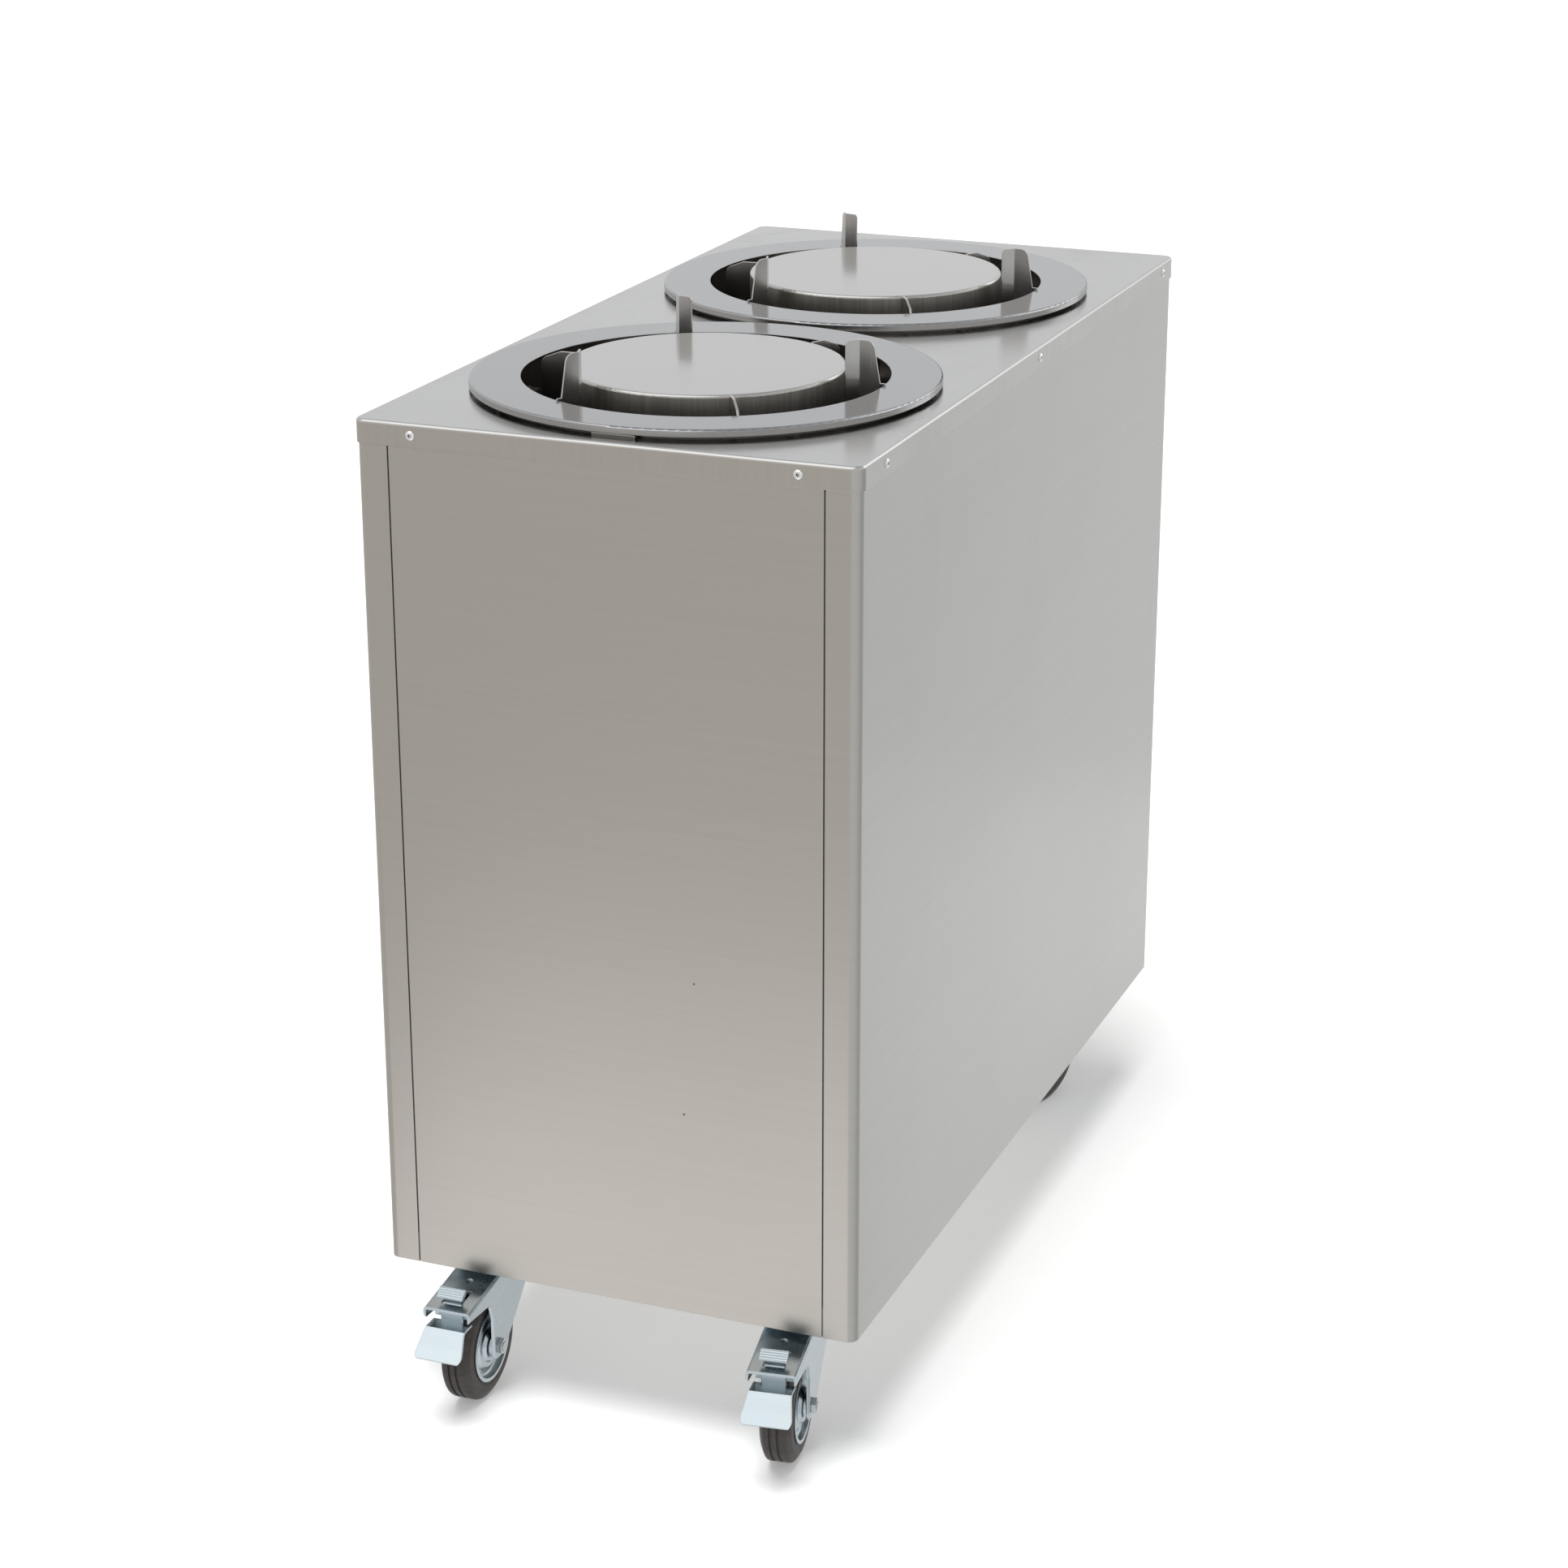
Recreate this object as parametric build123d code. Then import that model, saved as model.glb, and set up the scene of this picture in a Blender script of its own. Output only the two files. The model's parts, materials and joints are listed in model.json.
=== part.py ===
from build123d import *
import math
import os

os.makedirs("parts", exist_ok=True)

# Heated two-stack plate dispenser on castors. Millimetres and degrees.
# Frame: +X to the right, +Y from the front end to the control end, +Z up.
# The origin is on the floor, under the middle of the overall box.

# ---- Driving dimensions ------------------------------------------------------------

# Platforms, guides and collars (plan)
dish_radius = 116.4
well_gap = 36.8
collar_width = 42.8
collar_side_margin = 19.0
collar_front_margin = 16.5
collar_gap = 14.5
collar_rear_margin = 55.0
fitting_turn = 2.5

# Heights
body_height = 745.0
well_floor_lift = 32.0
dish_proud = 17.0
guide_proud = 46.0

# Cap and panels
cap_sheet = 1.2
cap_proud = 1.5
cap_skirt = 20.0
cap_corner_radius = 10.0
cap_bend_radius = 3.0
panel_sheet = 1.2
panel_corner_radius = 8.5
panel_return = 28.0
panel_seam = 1.4
post_sheet = 1.5
post_overlap = 30.0
post_side_leg = 30.0
pan_sheet = 1.5
pan_flange = 14.0

# Wells
tube_gap = 24.8
tube_wall = 1.0
tube_flange = 9.0
tube_hole_clearance = 1.5
well_base_sheet = 1.2
well_base_lip = 12.0
vent_radius = 6.0
vent_count = 8

# Collars
collar_sheet = 1.2
collar_rim_height = 6.0
collar_floor_gap = 3.0
collar_edge_radius = 1.6
collar_lip_radius = 0.4
spacer_radius = 5.0
spacer_count = 4
clip_width = 37.0
clip_offset = 3.5
clip_depth = 6.0
clip_sheet = 1.2

# Platforms
dish_sheet = 1.2
dish_rim_depth = 32.0
dish_edge_radius = 2.6
arm_sheet = 2.0
arm_depth = 46.0
arm_flat = 13.6
arm_clearance = 6.2
arm_leg_width = 17.0
arm_leg_drop = 200.0
hub_radius = 14.0
arm_dish_gap = 0.05
arm_slot_gap = 0.1
arm_fin_drop = 6.5
arm_gusset = 14.0
hub_bore_radius = 4.0
foot_sheet = 2.0
foot_half_width = 17.0
foot_corner_radius = 3.0
spring_offset = 11.0
spring_radius = 5.5
spring_wire = 1.5
spring_gap = 0.3
spring_wall_gap = 6.5
hook_hole_radius = 1.4
hanger_drop = 20.0
hanger_reach = 4.0

# Guides
guide_sheet = 1.5
guide_dish_clearance = 7.6
guide_fold = 9.0
guide_hole_clearance = 2.2
guide_taper = 6.0
guide_flange = 15.0
guide_tube_clearance = 0.3
guide_shoulder_drop = 12.0
guide_corner_radius = 8.0
guide_hook_reach = 2.5
guide_hook_height = 1.8

# Heating elements
heater_radius = 88.0
heater_tube_radius = 4.2
heater_lift = 26.0
heater_terminal_angle = 16.0
heater_hole_clearance = 0.4
heater_tail = 9.0
heater_pin_radius = 1.5
heater_pin_tail = 15.0

# Castors
wheel_radius = 50.0
fork_half_width = 22.0
fork_sheet = 2.5
rim_side_gap = 4.6
tyre_inset = 0.7
tread_inset = 3.8
tread_groove = 1.4
rim_radius = 32.0
rim_sheet = 1.6
rim_tyre_gap = 0.1
hub_side_gap = 0.8
hub_outer_radius = 10.0
axle_sleeve_radius = 6.0
axle_radius = 4.0
axle_across_flats = 13.0
axle_nut_height = 4.0
axle_end = 4.6
running_clearance = 0.05
caster_trail = 41.0
fork_head_radius = 35.0
fork_overhang = 7.0
fork_side_depth = 10.0
fork_roof_bend = 3.5
tyre_roof_gap = 8.3
roof_rise = 9.0
head_rise = 3.2
head_bend = 3.0
head_hollow_radius = 16.5
roof_dimple_radius = 5.0
roof_dimple_lift = 3.6
roof_dimple_back = 45.0
fork_leg_half_width = 12.0
fork_leg_drop = 12.0
kingpin_radius = 6.0
kingpin_cap_lip = 4.0
kingpin_cap_gap = 0.4
race_gap = 0.5
race_height = 3.0
caster_plate_sheet = 3.5
caster_plate_width = 105.0
caster_plate_length = 85.0
caster_hole_spacing_x = 80.0
caster_hole_spacing_y = 60.0
bolt_radius = 4.0
bolt_clearance = 0.5
bolt_across_flats = 13.0
bolt_head_height = 5.3
bolt_nut_height = 6.5
bolt_past_nut = 2.5
caster_side_inset = 72.5
caster_end_inset = 58.0
channel_sheet = 2.5
channel_height = 20.0
channel_bolt_room = 9.5

# Swivel angle of each castor at rest, counter-clockwise from trailing to the front
caster_yaw = {"front_left": 0.5, "front_right": 8.0, "rear_left": -12.0, "rear_right": -22.0}
braked_casters = ("front_left", "front_right")

# Brake pedals
pedal_half_width = 22.8
pedal_shelf_half_width = 18.0
pedal_tongue_half_width = 10.0
pedal_cheek_half_width = 16.5
pedal_cheek_height = 8.0
pedal_sheet = 2.0
pedal_reach = 29.5
pedal_shelf_drop = 17.0
pedal_face_drop = 22.0
pedal_corner_radius = 5.5
pedal_tongue_back = 10.5
pedal_cheek_length = 8.0
pedal_shelf_front = 2.5
lever_pin_radius = 2.0
lever_roof_gap = 5.2
ear_radius = 4.2
release_half_width = 12.0
release_neck_half_width = 8.4
release_window_gap = 1.1
release_window_front = 9.0
release_window_back = 31.0
release_stem_half_width = 3.8
release_eye_radius = 3.6
release_height = 15.0
release_pad_height = 7.0
release_pad_slope = 8.5
release_sheet = 2.2
release_pad_front = 5.3
release_stem_back = 13.6
release_rib_count = 5
release_rib_radius = 0.5
lever_side_gap = 1.5

# Controls on the rear end
control_plate_width = 280.0
control_plate_height = 84.0
control_plate_sheet = 1.5
control_drop = 30.0
knob_radius = 21.0
knob_height = 20.0
knob_gap = 0.6
knob_spacing = 190.0
spindle_radius = 3.0
thermostat_width = 44.0
thermostat_depth = 34.0
thermostat_neck_radius = 5.0
switch_spacing = 76.0
switch_width = 22.0
switch_height = 30.0
switch_depth = 26.0
switch_bezel = 2.5
rocker_width = 16.0
rocker_height = 23.6
rocker_tilt = 7.0
switch_bezel_height = 2.0
rocker_side_gap = 0.3
rocker_end_gap = 0.9
rocker_pin_radius = 1.5
rocker_pin_depth = 4.0
panel_hole_clearance = 0.2
control_screw_radius = 2.0
control_screw_head_radius = 3.8
control_screw_head = 2.1
control_screw_inset = 7.0
window_side_lap = 15.0
window_end_lap = 14.0
gland_bore_radius = 5.0
gland_thread_radius = 8.0
gland_hex = 22.0
gland_reach = 18.0
gland_depth = 14.0
gland_height = 55.0
gland_side = 120.0
terminal_pitch = 11.0
terminal_depth = 22.0
terminal_base_height = 8.0
terminal_height = 16.0
terminal_gap = 6.0
lead_radius = 3.0
lead_lift = 1.0

# Rivets through the cap skirt
rivet_head_radius = 4.0
rivet_shank_radius = 2.4
rivet_core_radius = 1.3
rivet_head = 1.4
rivet_tail = 2.5
rivet_tail_lip = 1.0
rivet_hole_clearance = 0.15
rivet_drop = 10.0
rivet_end_inset = 50.0
rivet_front_inset = 55.0
rivet_rear_inset = 37.0

fit_gap = 0.3

# ---- Derived dimensions ------------------------------------------------------------

hole_radius = dish_radius + well_gap
collar_radius = hole_radius + collar_width
tube_radius = hole_radius + tube_gap
body_width = 2 * (collar_radius + collar_side_margin)
body_length = collar_front_margin + 4 * collar_radius + collar_gap + collar_rear_margin

channel_width = caster_hole_spacing_y + 2 * (channel_bolt_room + channel_sheet)

# Castor stack, from the floor up
rim_half_width = fork_half_width - fork_sheet - rim_side_gap
tyre_half_width = rim_half_width - tyre_inset
tread_half_width = tyre_half_width - tread_inset
axle_z = wheel_radius
axle_y = -caster_trail
nose_y = axle_y - wheel_radius - fork_overhang
roof_nose_z = 2 * wheel_radius + tyre_roof_gap
roof_back_z = roof_nose_z + roof_rise
head_top_z = roof_back_z + head_rise
race_bottom_z = head_top_z + race_gap
plate_bottom_z = race_bottom_z + race_height
caster_height = plate_bottom_z + caster_plate_sheet

base_z = caster_height
cap_top = base_z + body_height
cap_under = cap_top - cap_sheet
panel_top = cap_under - cap_bend_radius
post_top = cap_under - 0.1
well_floor = base_z + well_floor_lift
collar_top = cap_top + collar_floor_gap + collar_rim_height
collar_under = collar_top - collar_sheet
dish_top = cap_top + dish_proud
guide_top = cap_top + guide_proud
arm_top = dish_top - dish_sheet - arm_dish_gap
foot_z = cap_top - arm_leg_drop

arm_outer_radius = hole_radius - arm_clearance
spring_orbit = tube_radius - spring_radius - spring_wall_gap
hanger_z = cap_top - hanger_drop
guide_inner_radius = dish_radius + guide_dish_clearance
guide_fold_radius = guide_inner_radius + guide_fold
guide_outer_radius = hole_radius - guide_hole_clearance

pedal_tip_reach = caster_trail + wheel_radius + pedal_reach
front_reach = pedal_tip_reach - caster_end_inset
rear_reach = control_plate_sheet + knob_gap + knob_height
front_y = (front_reach - rear_reach - body_length) / 2
rear_y = front_y + body_length
side_x = body_width / 2

well_y = {
    "front": front_y + collar_front_margin + collar_radius,
    "rear": front_y + collar_front_margin + 3 * collar_radius + collar_gap,
}
caster_spot = {
    "front_left": (caster_side_inset - side_x, front_y + caster_end_inset),
    "front_right": (side_x - caster_side_inset, front_y + caster_end_inset),
    "rear_left": (caster_side_inset - side_x, rear_y - caster_end_inset),
    "rear_right": (side_x - caster_side_inset, rear_y - caster_end_inset),
}
guide_angles = tuple(fitting_turn + turn for turn in (0, 120, 240))
arm_angles = tuple(fitting_turn + turn for turn in (60, 180, 300))
control_z = cap_top - cap_skirt - control_drop - control_plate_height / 2


# ---- Helpers -----------------------------------------------------------------------


def save(name, solids):
    """Writes one node: a single solid, or a group of separate ones."""
    shape = solids[0] if len(solids) == 1 else Compound(solids)
    export_step(shape, "parts/" + name + ".step")


def block(x0, x1, y0, y1, z0, z1):
    middle = Pos((x0 + x1) / 2, (y0 + y1) / 2, (z0 + z1) / 2)
    return middle * Box(x1 - x0, y1 - y0, z1 - z0)


def disc(radius, z0, z1, x=0, y=0):
    return Pos(x, y, (z0 + z1) / 2) * Cylinder(radius, z1 - z0)


def ring(inner, outer, z0, z1):
    return disc(outer, z0, z1) - disc(inner, z0 - 1, z1 + 1)


def rod_x(radius, x0, x1, y=0, z=0):
    return Pos((x0 + x1) / 2, y, z) * Rot(0, 90, 0) * Cylinder(radius, x1 - x0)


def rod_y(radius, y0, y1, x=0, z=0):
    return Pos(x, (y0 + y1) / 2, z) * Rot(90, 0, 0) * Cylinder(radius, y1 - y0)


def slab(x0, x1, y0, y1, radius, z0, z1):
    """A rounded rectangle in plan, between two heights."""
    middle = Pos((x0 + x1) / 2, (y0 + y1) / 2, z0)
    return middle * extrude(RectangleRounded(x1 - x0, y1 - y0, radius), z1 - z0)


def body_slab(inset, radius, z0, z1):
    """The cabinet's plan outline, moved in by inset."""
    return slab(-side_x + inset, side_x - inset, front_y + inset, rear_y - inset, radius, z0, z1)


def body_wall(inset, thickness, z0, z1):
    """A closed wall along the cabinet's outline, from inset to inset + thickness."""
    outer = body_slab(inset, panel_corner_radius - inset, z0, z1)
    inner = body_slab(inset + thickness, panel_corner_radius - inset - thickness, z0 - 1, z1 + 1)
    return outer - inner


def outline_plate(points, radii, thickness, plane):
    """A sheet cut to an outline with rounded corners, centred on its plane."""
    face = make_face(FilletPolyline(*points, radius=radii, close=True))
    return extrude(plane * face, amount=thickness / 2, both=True)


def revolved(points, axis=Axis.Z, plane=Plane.XZ):
    """A turned solid from a half section of (radius, height) points."""
    return revolve(plane * make_face(Polyline(*points, close=True)), axis)


def hexagon_z(across_flats, z0, z1, x=0, y=0):
    return Pos(x, y, z0) * extrude(RegularPolygon(across_flats / 2, 6, major_radius=False), z1 - z0)


def at_well(shape, unit, angle=0):
    return Pos(0, well_y[unit], 0) * Rot(0, 0, angle) * shape


def wells():
    return ("front", "rear")


# ---- Cabinet shell -----------------------------------------------------------------


def rivet_places():
    """Centre and outward angle about Z of each rivet in the cap skirt."""
    z = cap_top - rivet_drop
    end_x = side_x - rivet_end_inset
    first_y = front_y + rivet_front_inset
    last_y = rear_y - rivet_rear_inset
    long_ys = (first_y, (first_y + last_y) / 2, last_y)
    ends = ((front_y, -90), (rear_y, 90))
    sides = ((-side_x, 180), (side_x, 0))
    places = [(x, y, z, turn) for y, turn in ends for x in (-end_x, end_x)]
    return places + [(x, y, z, turn) for x, turn in sides for y in long_ys]


def rivet():
    """A blind rivet along +X, its head seated on the skirt's outer face at X = cap_proud."""
    depth = panel_sheet + post_sheet
    inner = -depth - cap_proud
    head = [
        (0, 0),
        (rivet_head_radius, 0),
        (rivet_head_radius - 0.3, 0.6),
        (rivet_head_radius - 1.4, rivet_head - 0.2),
        (0, rivet_head),
    ]
    dome = Rot(0, 90, 0) * revolved(head)
    shank = rod_x(rivet_shank_radius, inner, 0.2)
    tail = rod_x(rivet_shank_radius + rivet_tail_lip, inner - rivet_tail, inner)
    core = rod_x(rivet_core_radius, 0.2, rivet_head + 1)
    return Pos(cap_proud, 0, 0) * (dome + shank + tail - core)


def rivet_holes():
    hole = rod_x(rivet_shank_radius + rivet_hole_clearance, -12, 6)
    return [Pos(x, y, z) * Rot(0, 0, turn) * hole for x, y, z, turn in rivet_places()]


def make_top_panel():
    bottom = cap_top - cap_skirt
    outer = body_slab(-cap_proud, cap_corner_radius, bottom, cap_top)
    outer = fillet(outer.faces().sort_by(Axis.Z)[-1].edges(), cap_bend_radius)
    inner_inset = cap_sheet - cap_proud
    inner = body_slab(inner_inset, cap_corner_radius - cap_sheet, bottom - 1, cap_under)
    inner = fillet(inner.faces().sort_by(Axis.Z)[-1].edges(), cap_bend_radius - cap_sheet)
    cap = outer - inner
    mouth_radius = tube_radius + tube_wall + tube_hole_clearance
    for unit in wells():
        cap -= at_well(disc(mouth_radius, cap_under - 9, cap_top + 1), unit)
    return cap - rivet_holes()


def make_side_panel(side):
    wall = body_wall(0, panel_sheet, base_z, panel_top)
    edge = side * side_x
    inner = side * (side_x - panel_return)
    keep = block(min(edge, inner), max(edge, inner), front_y - 1, rear_y + 1, base_z - 1, cap_top)
    return (wall & keep) - rivet_holes()


def make_end_panel(y0, y1):
    half = side_x - panel_return - panel_seam
    return block(-half, half, y0, y1, base_z, panel_top) - rivet_holes()


def make_rear_end_panel():
    panel = make_end_panel(rear_y - panel_sheet, rear_y)
    half_width = control_plate_width / 2 - window_side_lap
    half_height = control_plate_height / 2 - window_end_lap
    window = block(
        -half_width, half_width, rear_y - 5, rear_y + 5, control_z - half_height, control_z + half_height
    )
    screw_hole = control_screw_radius + panel_hole_clearance
    screws = [rod_y(screw_hole, rear_y - 5, rear_y + 5, x, z) for x, z in control_screw_spots()]
    gland_hole = gland_thread_radius + panel_hole_clearance
    gland = rod_y(gland_hole, rear_y - 5, rear_y + 5, gland_side, base_z + gland_height)
    return panel - window - screws - gland


def make_corner_posts():
    wall = body_wall(panel_sheet, post_sheet, base_z + pan_flange, post_top)
    reach = panel_return + post_overlap
    posts = []
    for side in (-1, 1):
        for y0, y1 in ((front_y - 1, front_y + post_side_leg), (rear_y - post_side_leg, rear_y + 1)):
            x0, x1 = sorted((side * (side_x + 1), side * (side_x - reach)))
            posts.append((wall & block(x0, x1, y0, y1, base_z, cap_top)) - rivet_holes())
    return [post.solid() for post in posts]


def caster_hole_spots():
    """Plan position of every castor bolt."""
    spots = []
    for x, y in caster_spot.values():
        for dx in (-caster_hole_spacing_x / 2, caster_hole_spacing_x / 2):
            for dy in (-caster_hole_spacing_y / 2, caster_hole_spacing_y / 2):
                spots.append((x + dx, y + dy))
    return spots


def bolt_holes(z0, z1):
    return [disc(bolt_radius + bolt_clearance, z0, z1, x, y) for x, y in caster_hole_spots()]


def make_base_pan():
    floor = body_slab(panel_sheet, panel_corner_radius - panel_sheet, base_z, base_z + pan_sheet)
    flange = body_wall(panel_sheet, post_sheet, base_z, base_z + pan_flange)
    return floor + flange - bolt_holes(base_z - 1, base_z + 5)


def make_caster_channels():
    """Two cross channels that stiffen the pan above each pair of castors."""
    z0 = base_z + pan_sheet
    half = side_x - panel_corner_radius - fit_gap
    channels = []
    for y in (front_y + caster_end_inset, rear_y - caster_end_inset):
        y0 = max(y - channel_width / 2, front_y + panel_sheet + post_sheet + fit_gap)
        y1 = min(y + channel_width / 2, rear_y - panel_sheet - post_sheet - fit_gap)
        outer = block(-half, half, y0, y1, z0, z0 + channel_height)
        trough = block(
            -half - 1, half + 1, y0 + channel_sheet, y1 - channel_sheet, z0 + channel_sheet, z0 + 99
        )
        channels.append((outer - trough - bolt_holes(z0 - 1, z0 + 5)).solid())
    return channels


def make_caster_bolts():
    """Hexagon bolts up through plate, pan and channel, each with its nut."""
    solids = []
    nut_z = base_z + pan_sheet + channel_sheet
    for x, y in caster_hole_spots():
        head = hexagon_z(bolt_across_flats, plate_bottom_z - bolt_head_height, plate_bottom_z, x, y)
        nut_top = nut_z + bolt_nut_height
        solids.append(head + disc(bolt_radius, plate_bottom_z - 1, nut_top + bolt_past_nut, x, y))
        nut = hexagon_z(bolt_across_flats, nut_z, nut_top, x, y)
        solids.append(nut - disc(bolt_radius + running_clearance, nut_z - 1, nut_top + 1, x, y))
    return solids


# ---- Wells -------------------------------------------------------------------------


def make_well_tube():
    outer = tube_radius + tube_wall
    wall = ring(tube_radius, outer, well_floor, cap_top + tube_wall)
    flange = ring(tube_radius, outer + tube_flange, cap_top, cap_top + tube_wall)
    return wall + flange


def heater_terminal_spots():
    half = math.radians(heater_terminal_angle / 2)
    return [(heater_radius * math.cos(a), heater_radius * math.sin(a)) for a in (-half, half)]


def make_well_base():
    lip_inner = tube_radius + tube_wall + 0.2
    lip_outer = lip_inner + well_base_sheet
    base = disc(lip_outer, well_floor - well_base_sheet, well_floor)
    lip = ring(lip_inner, lip_outer, well_floor - well_base_sheet, well_floor + well_base_lip)
    vent_orbit = 0.72 * tube_radius
    vents = PolarLocations(vent_orbit, vent_count, 180 / vent_count) * Cylinder(vent_radius, 9)
    vents = [Pos(0, 0, well_floor) * vent for vent in vents]
    hole = heater_tube_radius + heater_hole_clearance
    terminals = [disc(hole, well_floor - 5, well_floor + 5, x, y) for x, y in heater_terminal_spots()]
    return base + lip - vents - terminals


def make_heater():
    """A tubular ring element whose two ends turn down through the well base."""
    z = well_floor + heater_lift
    half = heater_terminal_angle / 2
    circle = Pos(heater_radius, 0, z) * Rot(90, 0, 0) * Circle(heater_tube_radius)
    loop = Rot(0, 0, half) * revolve(circle, Axis.Z, 360 - heater_terminal_angle)
    for x, y in heater_terminal_spots():
        loop += Pos(x, y, z) * Sphere(heater_tube_radius)
        loop += disc(heater_tube_radius, well_floor - heater_tail, z, x, y)
        loop += disc(heater_pin_radius, well_floor - heater_pin_tail, well_floor - heater_tail + 1, x, y)
    return loop


def make_collar():
    bottom = cap_top + collar_floor_gap
    outer = disc(collar_radius, bottom, collar_top)
    outer = fillet(outer.edges().sort_by(Axis.Z)[-1], collar_edge_radius)
    inner = disc(collar_radius - collar_sheet, bottom - 1, collar_under)
    collar = outer - inner - disc(hole_radius, bottom, collar_top + 1)
    lip = collar.faces().sort_by(Axis.Z)[-1].edges().sort_by(SortBy.LENGTH)[0]
    return fillet(lip, collar_lip_radius)


def make_collar_spacers(unit):
    """Studs that carry the collar on the tube's flange, hidden behind its rim."""
    orbit = tube_radius + tube_wall + tube_flange - spacer_radius - 1
    stud = disc(spacer_radius, cap_top + tube_wall, collar_under, orbit)
    return [at_well(stud, unit, 45 + 360 / spacer_count * n) for n in range(spacer_count)]


def make_collar_clip():
    """A folded clip under the front collar's rim, resting on the cap."""
    x0 = clip_offset - clip_width / 2
    x1 = clip_offset + clip_width / 2
    y = well_y["front"] - math.sqrt(collar_radius**2 - clip_width**2 / 4)
    top = cap_top + collar_floor_gap - 0.1
    foot = block(x0, x1, y - 1.0, y + clip_depth, cap_top, cap_top + clip_sheet)
    upper = block(x0, x1, y - 1.4, y + clip_depth, top - clip_sheet, top)
    web = block(x0, x1, y + clip_depth - clip_sheet, y + clip_depth, cap_top, top)
    tip = block(x1 - clip_sheet, x1, y - 1.4, y + 1.0, cap_top, top)
    return foot + upper + web + tip


def make_guide_plate():
    """One guide at angle 0: a radial sheet, folded inwards, flanged to the tube."""
    shoulder = cap_top - guide_shoulder_drop
    low = well_floor + 0.2
    tube_side = tube_radius - guide_tube_clearance - guide_sheet
    points = [
        (guide_fold_radius, low),
        (tube_side, low),
        (tube_side, shoulder),
        (guide_outer_radius, shoulder),
        (guide_outer_radius, collar_top + 1.0),
        (guide_outer_radius - guide_taper, guide_top),
        (guide_fold_radius, guide_top),
    ]
    top_width = guide_outer_radius - guide_taper - guide_fold_radius
    top_radius = min(guide_corner_radius, 0.8 * top_width)
    radial = outline_plate(points, [0, 0, 4, 2, 3, top_radius, 0], guide_sheet, Plane.XZ)
    hook_z = collar_top + 0.2
    hook = block(
        guide_outer_radius - 3, hole_radius + guide_hook_reach, -guide_sheet / 2, guide_sheet / 2,
        hook_z, hook_z + guide_hook_height,
    )
    radial += fillet(hook.edges().filter_by(Axis.Y).group_by(Axis.X)[-1], 0.8)
    leg = guide_fold * math.sqrt(2)
    folded = block(-leg, 0, -guide_sheet / 2, guide_sheet / 2, low, guide_top)
    top_corner = folded.edges().filter_by(Axis.Y).sort_by(Axis.X)[:2].sort_by(Axis.Z)[-1]
    folded = fillet(top_corner, 3)
    knee = disc(guide_sheet / 2, low, guide_top)
    bend = Pos(guide_fold_radius, 0, 0) * (Rot(0, 0, 45) * folded + knee)
    flange_x = math.sqrt((tube_radius - guide_tube_clearance) ** 2 - (guide_flange / 2) ** 2)
    flange = block(flange_x - guide_sheet, flange_x, -guide_flange / 2, guide_flange / 2, low, shoulder)
    return radial + bend + flange


def make_spring_hangers(unit):
    """Brackets on the tube wall, under the collar, that hold the springs' top hooks."""
    inner = spring_orbit - spring_radius - hanger_reach
    outer = math.sqrt((tube_radius - 0.2) ** 2 - foot_half_width**2)
    shelf = block(inner, outer, -foot_half_width, foot_half_width, hanger_z - foot_sheet, hanger_z)
    back = block(outer - foot_sheet, outer, -foot_half_width, foot_half_width, hanger_z, cap_top - 4)
    for s in (-spring_offset, spring_offset):
        shelf -= disc(hook_hole_radius, hanger_z - 5, hanger_z + 1, spring_orbit, s)
    return [at_well(shelf + back, unit, angle) for angle in arm_angles]


def make_lift_springs(unit):
    """Close-wound extension springs from each hanger down to its foot."""
    top = hanger_z - foot_sheet - spring_gap
    bottom = foot_z + spring_gap
    coil = ring(spring_radius - spring_wire, spring_radius, bottom, top)
    spots = [Pos(spring_orbit, s, 0) for s in (-spring_offset, spring_offset)]
    return [at_well(spot * coil, unit, angle) for angle in arm_angles for spot in spots]


# ---- Platforms ---------------------------------------------------------------------


def make_platform_dish():
    rim_bottom = dish_top - dish_rim_depth
    outer = disc(dish_radius, rim_bottom, dish_top)
    outer = fillet(outer.edges().sort_by(Axis.Z)[-1], dish_edge_radius)
    inner = disc(dish_radius - dish_sheet, rim_bottom - 1, dish_top - dish_sheet)
    inner = fillet(inner.edges().sort_by(Axis.Z)[-1], dish_edge_radius - dish_sheet)
    dish = outer - inner
    half_slot = arm_sheet / 2 + arm_slot_gap
    slot = block(
        dish_radius - 4, dish_radius + 2, -half_slot, half_slot,
        rim_bottom - 1, dish_top - dish_edge_radius,
    )
    return dish - [Rot(0, 0, angle) * slot for angle in arm_angles]


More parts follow.
